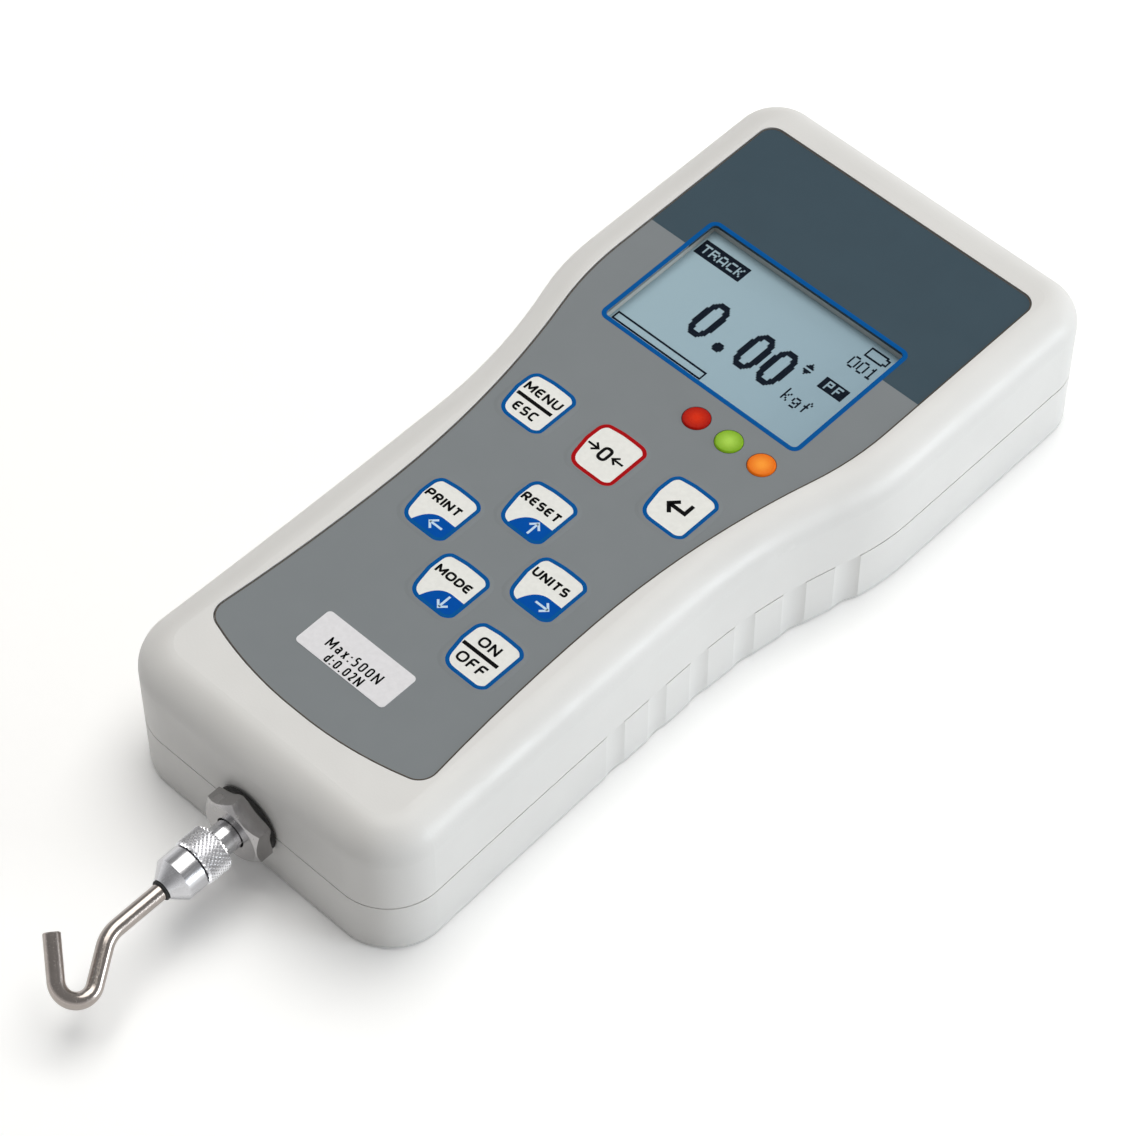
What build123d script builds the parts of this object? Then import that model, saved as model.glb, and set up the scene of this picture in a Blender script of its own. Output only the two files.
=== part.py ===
from build123d import *
import math
import os

os.makedirs("parts", exist_ok=True)

# Handheld digital force gauge with a hook. All sizes in millimetres.
# +X is to the reader's right, +Y away from the hook, +Z out of the display.
# The origin is the centre of the flat underside.

# --- Housing ---------------------------------------------------------------
BODY_LENGTH = 170.0
BODY_HEIGHT = 30.0
HEAD_HALF_WIDTH = 38.2      # round the display
WAIST_HALF_WIDTH = 31.1     # where the hand holds it
NOSE_HALF_WIDTH = 32.0      # at the hook end
SHOULDER_Y = 35.0           # where the flare meets the straight head
FLARE_ANGLE = 17.5          # steepest slope of the flare, from the Y axis
FLARE_HOLLOW_SHARE = 0.7    # of the flare is hollow, the rest is its crest
NOSE_CORNER = 10.6
TAIL_CORNER = 9.0
TOP_ROUND = 6.3
BASE_CHAMFER = 0.5
WALL = 2.5
PARTING_Z = 12.1
SEAM_WIDTH = 0.3
CEILING_Z = 26.2
NOSE_Y = -BODY_LENGTH / 2
TAIL_Y = BODY_LENGTH / 2

# --- Grip grooves in the lower half ------------------------------------------
GROOVE_COUNT = 6
GROOVE_FIRST_Y = -31.3
GROOVE_PITCH = 10.3
GROOVE_RADIUS = 5.5
GROOVE_DEPTH = 0.5

# --- Front panel and keypad --------------------------------------------------
RECESS_FLOOR_Z = 28.6
MEMBRANE_THICKNESS = 0.6
FACEPLATE_THICKNESS = 0.6
PANEL_HEAD_HALF_WIDTH = 31.0
PANEL_WAIST_HALF_WIDTH = 22.7
PANEL_NOSE_HALF_WIDTH = 24.9
PANEL_TOP_Y = 76.0
PANEL_NOSE_Y = -73.1        # middle of the bowed lower edge
PANEL_NOSE_CORNER_Y = -69.0
PANEL_NOSE_CORNER = 3.5
PANEL_HEAD_CORNER = 2.8
PANEL_SHOULDER_Y = 35.5
PANEL_FLARE_ANGLE = 15.0
PANEL_FLARE_HOLLOW_SHARE = 0.74
PANEL_NOSE_BOW = 0.9        # how far the lower edge's quarter points lag a straight corner line
PANEL_GAP = 0.2
WINDOW_Y = 36.8
WINDOW_WIDTH = 44.0
WINDOW_LENGTH = 28.6
WINDOW_CORNER = 0.9
KEY_WIDTH = 11.0
KEY_LENGTH = 11.3
KEY_BOW = 0.3
KEY_CORNER = 2.5
KEY_GAP = 0.06
KEY_THICKNESS = 0.38
KEY_PROUD = 0.05
KEY_COLUMN = 16.4
ARROW_COLUMN = 12.2
TOP_ROW = -0.3
ARROW_ROW = -27.9
KEYS = {
    "menu_key": (-KEY_COLUMN, TOP_ROW),
    "zero_key": (0.0, TOP_ROW),
    "enter_key": (KEY_COLUMN, TOP_ROW),
    "reset_key": (0.0, -17.3),
    "print_key": (-ARROW_COLUMN, ARROW_ROW),
    "units_key": (ARROW_COLUMN, ARROW_ROW),
    "mode_key": (0.0, -38.3),
    "power_key": (14.0, -44.8),
}
DOME_RADIUS = 2.9
DOME_CORNER = 1.7
DOME_TAPER = 80.0
DOME_HEIGHT = 0.28
DOME_SHEET = 0.12
DOME_POCKET_RADIUS = 3.6
DOME_POCKET_DEPTH = 0.4
NUB_RADIUS = 1.2
NUB_LENGTH = 0.11
LED_RADIUS = 2.5
LED_PROUD = 0.25
LED_EDGE = 0.25              # the lens's rounded edge
LED_FLANGE = 0.4             # wider than the lens
LED_FLANGE_THICKNESS = 1.0
LED_HOLE_GAP = 0.25
LED_FILM_GAP = 0.1
LEDS = {"red_led": 5.5, "green_led": 12.9, "orange_led": 20.3}
LED_Y = 16.0

# --- Display module and circuit board ------------------------------------------
BEZEL_WIDTH = 50.0
BEZEL_LENGTH = 34.0
BEZEL_LIP = 1.2
GLASS_WIDTH = 48.0
GLASS_LENGTH = 32.0
GLASS_THICKNESS = 1.1
BOARD_TOP_Z = 24.0
BOARD_THICKNESS = 1.6
BOARD_HALF_WIDTH = 26.0
BOARD_NOSE_Y = -30.0
BOARD_TAIL_Y = 79.0
BOARD_SCREWS = [(-23.0, -26.0), (23.0, -26.0), (-23.0, 66.0), (23.0, 66.0)]
BOARD_POST_RADIUS = 2.6
BOARD_SCREW_RADIUS = 1.1
BOARD_SCREW_CLEAR = 0.2
BOARD_SCREW_HEAD_RADIUS = 2.2
BOARD_SCREW_HEAD = 1.5
BOARD_CORNER = 2.0
BEZEL_FIT = 0.2             # all round, in the housing
BEZEL_OPENING = 0.4         # wider than the window, all round

TAIL_X = -12.0              # the keypad's flat tail
TAIL_SLOT_Y = -21.0
TAIL_SLOT_WIDTH = 1.4
TAIL_WIDTH = 10.0
TAIL_SHEET = 0.2

# --- Measuring line: axis along Y ------------------------------------------------
SHAFT_Z = 12.6
SHAFT_RADIUS = 3.0
SHAFT_BORE_RADIUS = 4.5
STUD_RADIUS = 2.2
FIT = 0.05                  # radial running clearance
WASHER_GAP = 0.45           # leaves the shaft room to be pushed in
WASHER_THICKNESS = 0.6
WASHER_RADIUS = 6.4
HEX_ACROSS_FLATS = 12.0
HEX_THICKNESS = 2.3
HEX_CHAMFER = 1.0
HEX_TURN = 4.0
NECK_RADIUS = 2.75
NECK_LENGTH = 4.75
LOCK_RING_RADIUS = 4.4
LOCK_RING_LENGTH = 4.9
RING_GAP = 0.15
COUPLING_RADIUS = 4.1
COUPLING_BARREL = 3.85
COUPLING_CONE = 2.6
COUPLING_TIP_RADIUS = 1.95
STUD_ENGAGEMENT = 2.9
HOOK_WIRE_RADIUS = 1.5
HOOK_SEAT = 1.9
HOOK_SHANK_END_Y = -114.45
HOOK_TILT = 35.0
HOOK_BEND_RADIUS = 6.2
HOOK_BEND_ANGLE = 36.0
HOOK_LEG = 6.3
HOOK_BOWL_RADIUS = 3.3
HOOK_BOWL_ANGLE = 160.0
HOOK_TIP_LEG = 7.85
HOOK_TIP_CHAMFER = 0.2
TIP_RING_RADIUS = 1.9
TIP_RING_LENGTH = 0.5

# --- Load cell and chassis ---------------------------------------------------------
CELL_WIDTH = 34.0
CELL_LENGTH = 44.0
CELL_HEIGHT = 12.0
CELL_NOSE_Y = -79.5
CELL_SLOT = 2.4
CELL_SLOT_INSET = 8.0
CELL_GAUGE_RADIUS = 6.0
CELL_CORNER = 1.5
CELL_WEB = 7.0              # solid side left beside each slot
CELL_RISER = 8.0            # length of the slot's return towards the eye
CELL_SHAFT_DEPTH = 5.0      # how far the shaft screws into the moving end
BOLT_DEPTH = 5.0
BOLT_HOLE_DEPTH = 6.0
BOLT_HEAD_RADIUS = 5.0
BOLT_HEAD = 6.0
BOLT_SOCKET_INRADIUS = 2.5
BOLT_SOCKET_DEPTH = 3.0
BOLT_CLEARANCE = 0.2
CHASSIS_HALF_WIDTH = 20.5
CHASSIS_THICKNESS = 3.0
CHASSIS_CORNER = 3.0
CHASSIS_MARGIN = 6.0        # of the plate beyond the stand bosses and the lug
LUG_THICKNESS = 8.0
LUG_CORNER = 4.0
STAND_SPACING_X = 34.0
STAND_SPACING_Y = 50.0
STAND_CENTRE_Y = -46.0
STAND_BOSS_RADIUS = 4.0
STAND_BOSS_GAP = 0.1
STAND_BOSS_LOW_Z = 0.2
STAND_THREAD_RADIUS = 2.1
HOUSING_SCREWS = [(-24.5, -75.5), (24.5, -75.5), (-31.0, 75.0), (31.0, 75.0)]
SCREW_POST_RADIUS = 3.5
SCREW_SHANK_RADIUS = 1.45
SCREW_CLEAR_RADIUS = 1.7
SCREW_HEAD_RADIUS = 2.6
SCREW_SINK_RADIUS = 2.9
SCREW_HEAD_LOW_Z = 1.4
SCREW_HEAD_TOP_Z = 3.4
SCREW_END_Z = 20.0
SCREW_DRIVE = (0.8, 3.6, 1.4)

# --- Batteries and sockets -----------------------------------------------------------
CELL_COUNT = 4
AA_RADIUS = 7.2
AA_LENGTH = 49.2
AA_PITCH = 15.0
AA_NOSE_Y = 15.0
AA_Z = 11.2
AA_CAP_RADIUS = 2.7
AA_CAP = 1.0
TRAY_GAP = 0.15
TRAY_RIM = 0.6
TRAY_END = 3.0
CONTACT_SIZE = (9.0, 0.5, 5.0)
CONTACT_GAP = 1.2
DATA_PORT_X = 10.0
PORT_Z = 15.6
PORT_FLANGE_Y = 80.0
PORT_HALF_WIDTH = 8.9
PORT_HALF_HEIGHT = 4.4
PORT_SCREW_X = 12.5
PORT_SCREW_RADIUS = 1.6
PORT_FLANGE = (30.8, 12.4)
PORT_FLANGE_THICKNESS = 1.0
PORT_BLOCK = (30.0, 12.0)
PORT_BLOCK_DEPTH = 9.0
PORT_TAPER = 1.4            # how much narrower the D is on its short side
PORT_CORNER = 1.6
PORT_SHROUD = 0.5
PORT_OPENING = (31.4, 13.0)
PORT_RECESS = 0.2           # behind the tail face
PORT_ROWS = ((-1.4, 5), (1.4, 4))
CONTACT_PITCH = 2.76
CONTACT_RADIUS = 0.55
CONTACT_DEPTH = 4.0
JACKSCREW_INRADIUS = 2.4
JACKSCREW_LENGTH = 3.4
JACKSCREW_BORE = 1.3
JACKSCREW_BORE_FLOOR = 3.0
JACKSCREW_STEM = 3.0
POWER_JACK_X = -20.0
POWER_JACK_Z = 16.4
POWER_JACK_HOLE_RADIUS = 4.6
POWER_JACK_NOSE_RADIUS = 4.4
POWER_JACK_BORE_RADIUS = 2.9
POWER_JACK_PIN_RADIUS = 1.0
POWER_JACK_HALF_WIDTH = 4.5
POWER_JACK_LENGTH = 13.0
POWER_JACK_BORE_DEPTH = 9.0


def lay(x, y, z=0.0):
    """Location at a point of the row frame."""
    return Pos(x, y, z)


def mirrored_face(right_edges):
    """A face whose right-hand boundary is given and whose left is its mirror image."""
    left_edges = [mirror(edge, Plane.YZ) for edge in right_edges]
    return make_face(Curve() + right_edges + left_edges)


def slab(face, low_z, high_z):
    """The face pulled up from one height to another."""
    return Pos(0, 0, low_z) * extrude(face, high_z - low_z)


def box_between(low, high):
    """A box from its lowest to its highest corner."""
    size = [b - a for a, b in zip(low, high)]
    return Pos(*low) * Box(*size, align=(Align.MIN, Align.MIN, Align.MIN))


def post(x, y, low_z, high_z, radius):
    """An upright round post or hole."""
    return Pos(x, y, low_z) * Cylinder(radius, high_z - low_z, align=(Align.CENTER, Align.CENTER, Align.MIN))


def rod(radius, low_y, high_y, x=0.0, z=SHAFT_Z):
    """A round rod along Y."""
    centre = Pos(x, (low_y + high_y) / 2, z)
    return centre * Rot(90, 0, 0) * Cylinder(radius, high_y - low_y)


def turned(profile):
    """A turned piece on the measuring axis, from the (radius, y) corners of its half section."""
    half_section = make_face(Polyline(*profile, close=True))
    return Pos(0, 0, SHAFT_Z) * revolve(half_section, Axis.Y)


def waisted_side(nose, waist_x, head, angle, hollow_share):
    """The right-hand side from the nose to the head: a long arc to the waist, then a hollow and a crest."""
    both_radii = (head[0] - waist_x) / (1 - math.cos(math.radians(angle)))
    waist_y = head[1] - both_radii * math.sin(math.radians(angle))
    hollow_radius = both_radii * hollow_share
    to_waist = TangentArc((waist_x, waist_y), nose, tangent=(0, -1))
    hollow = JernArc((waist_x, waist_y), (0, 1), hollow_radius, -angle)
    crest = JernArc(hollow @ 1, hollow % 1, both_radii - hollow_radius, angle)
    return [to_waist, hollow, crest]


def footprint(inset=0.0):
    """The housing's outline seen from above, drawn in by the inset."""
    nose_y, tail_y = NOSE_Y + inset, TAIL_Y - inset
    nose_x, tail_x = NOSE_HALF_WIDTH - inset, HEAD_HALF_WIDTH - inset
    nose_corner, tail_corner = NOSE_CORNER - inset, TAIL_CORNER - inset
    nose_end = (nose_x, nose_y + nose_corner)
    side = waisted_side(nose_end, WAIST_HALF_WIDTH - inset, (tail_x, SHOULDER_Y), FLARE_ANGLE, FLARE_HOLLOW_SHARE)
    return mirrored_face([
        Line((0, nose_y), (nose_x - nose_corner, nose_y)),
        RadiusArc((nose_x - nose_corner, nose_y), nose_end, -nose_corner),
        *side,
        Line((tail_x, SHOULDER_Y), (tail_x, tail_y - tail_corner)),
        RadiusArc((tail_x, tail_y - tail_corner), (tail_x - tail_corner, tail_y), -tail_corner),
        Line((tail_x - tail_corner, tail_y), (0, tail_y)),
    ])


def side_x(y):
    """The half-width of the housing at a given y."""
    strip = Pos(0, y) * Rectangle(2 * BODY_LENGTH, 0.02)
    return (footprint() & strip).bounding_box().max.X


def panel_face(grow=0.0):
    """The outline of the printed front panel, let out by an amount."""
    head_x, nose_x = PANEL_HEAD_HALF_WIDTH + grow, PANEL_NOSE_HALF_WIDTH + grow
    top_y, nose_y, corner_y = PANEL_TOP_Y + grow, PANEL_NOSE_Y - grow, PANEL_NOSE_CORNER_Y - grow
    head = (head_x, PANEL_SHOULDER_Y)
    waist_x = PANEL_WAIST_HALF_WIDTH + grow
    side = waisted_side((nose_x, corner_y), waist_x, head, PANEL_FLARE_ANGLE, PANEL_FLARE_HOLLOW_SHARE)
    face = mirrored_face([
        ThreePointArc((0, nose_y), (nose_x / 2, nose_y + PANEL_NOSE_BOW), (nose_x, corner_y)),
        *side,
        Line(head, (head_x, top_y)),
        Line((head_x, top_y), (0, top_y)),
    ])
    nose_corners = face.vertices().filter_by(lambda v: abs(v.X) > 1 and v.Y < corner_y + 1)
    face = fillet(nose_corners, PANEL_NOSE_CORNER + grow)
    head_corners = face.vertices().filter_by(lambda v: abs(v.X) > 1 and v.Y > top_y - 1)
    return fillet(head_corners, PANEL_HEAD_CORNER + grow)


def key_face(grow=0.0):
    """One key's outline: a rounded square with slightly bowed sides."""
    half_w, half_l = KEY_WIDTH / 2 + grow, KEY_LENGTH / 2 + grow
    corner_x, corner_y = half_w - KEY_BOW, half_l - KEY_BOW
    sides = [
        ThreePointArc((-corner_x, -corner_y), (0, -half_l), (corner_x, -corner_y)),
        ThreePointArc((corner_x, -corner_y), (half_w, 0), (corner_x, corner_y)),
        ThreePointArc((corner_x, corner_y), (0, half_l), (-corner_x, corner_y)),
        ThreePointArc((-corner_x, corner_y), (-half_w, 0), (-corner_x, -corner_y)),
    ]
    face = make_face(Curve() + sides)
    return fillet(face.vertices(), KEY_CORNER + grow)


MEMBRANE_TOP_Z = RECESS_FLOOR_Z + MEMBRANE_THICKNESS
FACE_Z = MEMBRANE_TOP_Z + FACEPLATE_THICKNESS
GLASS_TOP_Z = RECESS_FLOOR_Z - BEZEL_LIP
BOARD_LOW_Z = BOARD_TOP_Z - BOARD_THICKNESS
HEX_BACK_Y = NOSE_Y - WASHER_GAP - WASHER_THICKNESS
HEX_FRONT_Y = HEX_BACK_Y - HEX_THICKNESS
RING_BACK_Y = HEX_FRONT_Y - NECK_LENGTH
RING_FRONT_Y = RING_BACK_Y - LOCK_RING_LENGTH
COUPLING_BACK_Y = RING_FRONT_Y - RING_GAP
CONE_Y = COUPLING_BACK_Y - COUPLING_BARREL
COUPLING_TIP_Y = CONE_Y - COUPLING_CONE
CELL_TAIL_Y = CELL_NOSE_Y + CELL_LENGTH
LUG_TAIL_Y = CELL_TAIL_Y + LUG_THICKNESS
FLOOR_Z = WALL
CHASSIS_TOP_Z = FLOOR_Z + CHASSIS_THICKNESS


def seam_groove():
    """The fine line all round where the two halves of the housing meet."""
    band = footprint() - footprint(SEAM_WIDTH)
    return slab(band, PARTING_Z - SEAM_WIDTH / 2, PARTING_Z + SEAM_WIDTH / 2)


def socket_cuts():
    """The openings in the tail wall for the data port and the power jack."""
    width, height = PORT_OPENING
    data = lay(DATA_PORT_X, TAIL_Y, PORT_Z) * Box(width, 4 * WALL, height)
    power = rod(POWER_JACK_HOLE_RADIUS, TAIL_Y - 2 * WALL, TAIL_Y + WALL, x=POWER_JACK_X, z=POWER_JACK_Z)
    return data + power


def upper_housing():
    """The moulded top half: panel recess, display opening, bosses and nose bore."""
    shell = slab(footprint(), PARTING_Z, BODY_HEIGHT)
    shell = fillet(shell.faces().sort_by(Axis.Z)[-1].edges(), TOP_ROUND)
    shell -= slab(footprint(WALL), PARTING_Z, CEILING_Z)
    for x, y in HOUSING_SCREWS:
        shell += post(x, y, PARTING_Z, CEILING_Z, SCREW_POST_RADIUS)
        shell -= post(x, y, PARTING_Z, SCREW_END_Z + 1, SCREW_SHANK_RADIUS)
    for x, y in BOARD_SCREWS:
        shell += post(x, y, BOARD_TOP_Z, CEILING_Z, BOARD_POST_RADIUS)
        shell -= post(x, y, BOARD_TOP_Z, CEILING_Z, BOARD_SCREW_RADIUS)
    shell -= slab(panel_face(PANEL_GAP), RECESS_FLOOR_Z, BODY_HEIGHT + 1)
    bezel_hole = Box(BEZEL_WIDTH + 2 * BEZEL_FIT, BEZEL_LENGTH + 2 * BEZEL_FIT, BODY_HEIGHT - BOARD_TOP_Z)
    shell -= lay(0, WINDOW_Y, (BODY_HEIGHT + BOARD_TOP_Z) / 2) * bezel_hole
    for x in LEDS.values():
        shell -= post(x, LED_Y, CEILING_Z - 1, BODY_HEIGHT, LED_RADIUS + LED_HOLE_GAP)
    tail_slot = Box(TAIL_WIDTH + TAIL_SLOT_WIDTH, TAIL_SLOT_WIDTH, BODY_HEIGHT - BOARD_TOP_Z)
    shell -= lay(TAIL_X, TAIL_SLOT_Y, (BODY_HEIGHT + BOARD_TOP_Z) / 2) * tail_slot
    shell -= rod(SHAFT_BORE_RADIUS, NOSE_Y - 1, NOSE_Y + WALL + 1)
    shell -= socket_cuts()
    return shell - seam_groove()


def lower_housing():
    """The moulded bottom half: floor, screw bosses, stand openings and grip grooves."""
    shell = slab(footprint(), 0, PARTING_Z)
    shell = chamfer(shell.faces().sort_by(Axis.Z)[0].edges(), BASE_CHAMFER)
    shell -= slab(footprint(WALL), FLOOR_Z, PARTING_Z)
    for x, y in HOUSING_SCREWS:
        shell += post(x, y, FLOOR_Z / 2, PARTING_Z, SCREW_POST_RADIUS)
        shell -= post(x, y, 0, PARTING_Z, SCREW_CLEAR_RADIUS)
        shell -= post(x, y, 0, SCREW_HEAD_TOP_Z, SCREW_SINK_RADIUS)
    for number in range(GROOVE_COUNT):
        y = GROOVE_FIRST_Y + number * GROOVE_PITCH
        centre_x = side_x(y) - GROOVE_DEPTH + GROOVE_RADIUS
        for side in (-1, 1):
            shell -= post(side * centre_x, y, -1, PARTING_Z, GROOVE_RADIUS)
    for x, y in stand_points():
        shell -= post(x, y, -1, FLOOR_Z + 1, STAND_BOSS_RADIUS)
    shell -= rod(SHAFT_BORE_RADIUS, NOSE_Y - 1, NOSE_Y + WALL + 1)
    shell -= socket_cuts()
    return shell - seam_groove()


def stand_points():
    """The four corners of the test-stand fixing pattern."""
    half_x, half_y = STAND_SPACING_X / 2, STAND_SPACING_Y / 2
    return [(sx * half_x, STAND_CENTRE_Y + sy * half_y) for sx in (-1, 1) for sy in (-1, 1)]


def faceplate():
    """The printed front film, with openings for the keys, window and lamps."""
    sheet = slab(panel_face(), MEMBRANE_TOP_Z, FACE_Z)
    for x, y in KEYS.values():
        sheet -= slab(lay(x, y) * key_face(KEY_GAP), MEMBRANE_TOP_Z, FACE_Z)
    sheet -= lay(0, WINDOW_Y, MEMBRANE_TOP_Z) * window_block(FACEPLATE_THICKNESS)
    for x in LEDS.values():
        sheet -= post(x, LED_Y, MEMBRANE_TOP_Z, FACE_Z, LED_RADIUS + LED_FILM_GAP)
    return sheet


def window_block(thickness):
    """A block with the window's outline, standing on z = 0."""
    return extrude(RectangleRounded(WINDOW_WIDTH, WINDOW_LENGTH, WINDOW_CORNER), thickness)


def view_opening():
    """The opening behind the window, centred on the origin."""
    return Box(WINDOW_WIDTH + 2 * BEZEL_OPENING, WINDOW_LENGTH + 2 * BEZEL_OPENING, BODY_HEIGHT - BOARD_TOP_Z)


def display_window():
    """The clear pane over the display."""
    return lay(0, WINDOW_Y, MEMBRANE_TOP_Z) * window_block(FACEPLATE_THICKNESS)


def switch_membrane():
    """The switch layer under the front film, with a pocket below each key."""
    sheet = slab(panel_face(-0.2), RECESS_FLOOR_Z, MEMBRANE_TOP_Z)
    for x, y in KEYS.values():
        sheet -= post(x, y, MEMBRANE_TOP_Z - DOME_POCKET_DEPTH, MEMBRANE_TOP_Z, DOME_POCKET_RADIUS)
    sheet -= lay(0, WINDOW_Y, MEMBRANE_TOP_Z) * view_opening()
    for x in LEDS.values():
        sheet -= post(x, LED_Y, RECESS_FLOOR_Z, MEMBRANE_TOP_Z, LED_RADIUS + LED_HOLE_GAP)
    return sheet


def key_dome():
    """One snap dome standing on z = 0: a pressed disc with four legs, as a shallow hollow frustum."""
    foot = Rectangle(2 * DOME_RADIUS, 2 * DOME_RADIUS)
    foot = chamfer(foot.vertices(), DOME_CORNER)
    outer = extrude(foot, DOME_HEIGHT, taper=DOME_TAPER)
    return outer - Pos(0, 0, -DOME_SHEET) * outer


def key_domes():
    """The snap domes, one in each pocket of the switch layer."""
    floor = MEMBRANE_TOP_Z - DOME_POCKET_DEPTH
    return [lay(x, y, floor) * key_dome() for x, y in KEYS.values()]


def key_pad(x, y):
    """One key: a thin pad with a nub that presses its dome."""
    low_z = FACE_Z + KEY_PROUD - KEY_THICKNESS
    pad = slab(key_face(), low_z, low_z + KEY_THICKNESS)
    pad += post(0, 0, low_z - NUB_LENGTH, low_z, NUB_RADIUS)
    return lay(x, y) * pad


def lamp(x):
    """One indicator lamp: a flanged body with a domed top, standing on the board."""
    top_z = FACE_Z + LED_PROUD
    body = post(x, LED_Y, BOARD_TOP_Z, top_z, LED_RADIUS)
    body = chamfer(body.faces().sort_by(Axis.Z)[-1].edges(), LED_EDGE)
    return body + post(x, LED_Y, BOARD_TOP_Z, BOARD_TOP_Z + LED_FLANGE_THICKNESS, LED_RADIUS + LED_FLANGE)


def lcd_bezel():
    """The frame that carries the display glass over the board."""
    frame = box_between(
        (-BEZEL_WIDTH / 2, WINDOW_Y - BEZEL_LENGTH / 2, BOARD_TOP_Z),
        (BEZEL_WIDTH / 2, WINDOW_Y + BEZEL_LENGTH / 2, RECESS_FLOOR_Z),
    )
    frame -= lay(0, WINDOW_Y, RECESS_FLOOR_Z) * view_opening()
    frame -= lcd_layer(BOARD_TOP_Z, GLASS_TOP_Z)
    return frame


def lcd_layer(low_z, high_z):
    """A layer of the display inside the bezel."""
    return lay(0, WINDOW_Y, (low_z + high_z) / 2) * Box(GLASS_WIDTH, GLASS_LENGTH, high_z - low_z)


def main_board():
    """The circuit board, notched round the tail bosses and drilled for its screws."""
    board = box_between(
        (-BOARD_HALF_WIDTH, BOARD_NOSE_Y, BOARD_LOW_Z),
        (BOARD_HALF_WIDTH, BOARD_TAIL_Y, BOARD_TOP_Z),
    )
    board = fillet(board.edges().filter_by(Axis.Z), BOARD_CORNER)
    for x, y in BOARD_SCREWS:
        board -= post(x, y, BOARD_LOW_Z, BOARD_TOP_Z, BOARD_SCREW_RADIUS + BOARD_SCREW_CLEAR)
    return board


def board_screws():
    """The screws that hold the board up against its bosses."""
    screws = []
    for x, y in BOARD_SCREWS:
        head = post(x, y, BOARD_LOW_Z - BOARD_SCREW_HEAD, BOARD_LOW_Z, BOARD_SCREW_HEAD_RADIUS)
        screws.append(head + post(x, y, BOARD_LOW_Z, CEILING_Z - BOARD_SCREW_CLEAR, BOARD_SCREW_RADIUS))
    return screws


def housing_screws():
    """The screws that clamp the lower half to the upper half from below."""
    screws = []
    for x, y in HOUSING_SCREWS:
        head = post(x, y, SCREW_HEAD_LOW_Z, SCREW_HEAD_TOP_Z, SCREW_HEAD_RADIUS)
        head -= lay(x, y, SCREW_HEAD_LOW_Z) * Box(*SCREW_DRIVE)
        screws.append(head + post(x, y, SCREW_HEAD_TOP_Z, SCREW_END_Z, SCREW_SHANK_RADIUS))
    return screws


def load_cell():
    """The S-shaped measuring beam: two side slots and a slotted eye between them."""
    beam = box_between(
        (-CELL_WIDTH / 2, CELL_NOSE_Y, SHAFT_Z - CELL_HEIGHT / 2),
        (CELL_WIDTH / 2, CELL_TAIL_Y, SHAFT_Z + CELL_HEIGHT / 2),
    )
    beam = fillet(beam.edges().filter_by(Axis.Z), CELL_CORNER)
    centre_y = (CELL_NOSE_Y + CELL_TAIL_Y) / 2
    slot_length = CELL_WIDTH - CELL_WEB
    for side in (-1, 1):
        slot_y = centre_y + side * (CELL_LENGTH / 2 - CELL_SLOT_INSET)
        slot_x = side * (CELL_WIDTH - slot_length) / 2
        beam -= lay(slot_x, slot_y, SHAFT_Z) * Box(slot_length, CELL_SLOT, CELL_HEIGHT)
        riser_x = -side * (CELL_WIDTH / 2 - CELL_WEB)
        riser_y = slot_y - side * CELL_RISER / 2
        beam -= lay(riser_x, riser_y, SHAFT_Z) * Box(CELL_SLOT, CELL_RISER, CELL_HEIGHT)
    beam -= post(0, centre_y, 0, BODY_HEIGHT, CELL_GAUGE_RADIUS)
    beam -= rod(SHAFT_RADIUS + FIT, CELL_NOSE_Y, CELL_NOSE_Y + CELL_SLOT_INSET - CELL_SLOT)
    beam -= rod(SHAFT_RADIUS, CELL_TAIL_Y - BOLT_HOLE_DEPTH, CELL_TAIL_Y)
    return beam


def chassis():
    """The metal chassis: a floor plate with stand bosses and a lug that anchors the beam."""
    plate = box_between(
        (-CHASSIS_HALF_WIDTH, STAND_CENTRE_Y - STAND_SPACING_Y / 2 - CHASSIS_MARGIN, FLOOR_Z),
        (CHASSIS_HALF_WIDTH, LUG_TAIL_Y + CHASSIS_MARGIN, CHASSIS_TOP_Z),
    )
    plate = fillet(plate.edges().filter_by(Axis.Z), CHASSIS_CORNER)
    lug = box_between(
        (-CELL_WIDTH / 2, CELL_TAIL_Y, CHASSIS_TOP_Z),
        (CELL_WIDTH / 2, LUG_TAIL_Y, SHAFT_Z + CELL_HEIGHT / 2),
    )
    lug = fillet(lug.edges().filter_by(Axis.Y).group_by(Axis.Z)[-1], LUG_CORNER)
    frame = plate + lug
    for x, y in stand_points():
        frame += post(x, y, STAND_BOSS_LOW_Z, FLOOR_Z, STAND_BOSS_RADIUS - STAND_BOSS_GAP)
        frame -= post(x, y, 0, CHASSIS_TOP_Z, STAND_THREAD_RADIUS)
    frame -= rod(SHAFT_RADIUS + BOLT_CLEARANCE, CELL_TAIL_Y, LUG_TAIL_Y)
    return frame


def cell_bolt():
    """The socket-head bolt through the lug into the fixed end of the beam."""
    bolt = rod(SHAFT_RADIUS, CELL_TAIL_Y - BOLT_DEPTH, LUG_TAIL_Y)
    bolt += rod(BOLT_HEAD_RADIUS, LUG_TAIL_Y, LUG_TAIL_Y + BOLT_HEAD)
    socket = extrude(RegularPolygon(BOLT_SOCKET_INRADIUS, 6, major_radius=False), BOLT_SOCKET_DEPTH)
    return bolt - lay(0, LUG_TAIL_Y + BOLT_HEAD, SHAFT_Z) * Rot(90, 0, 0) * socket


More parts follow.
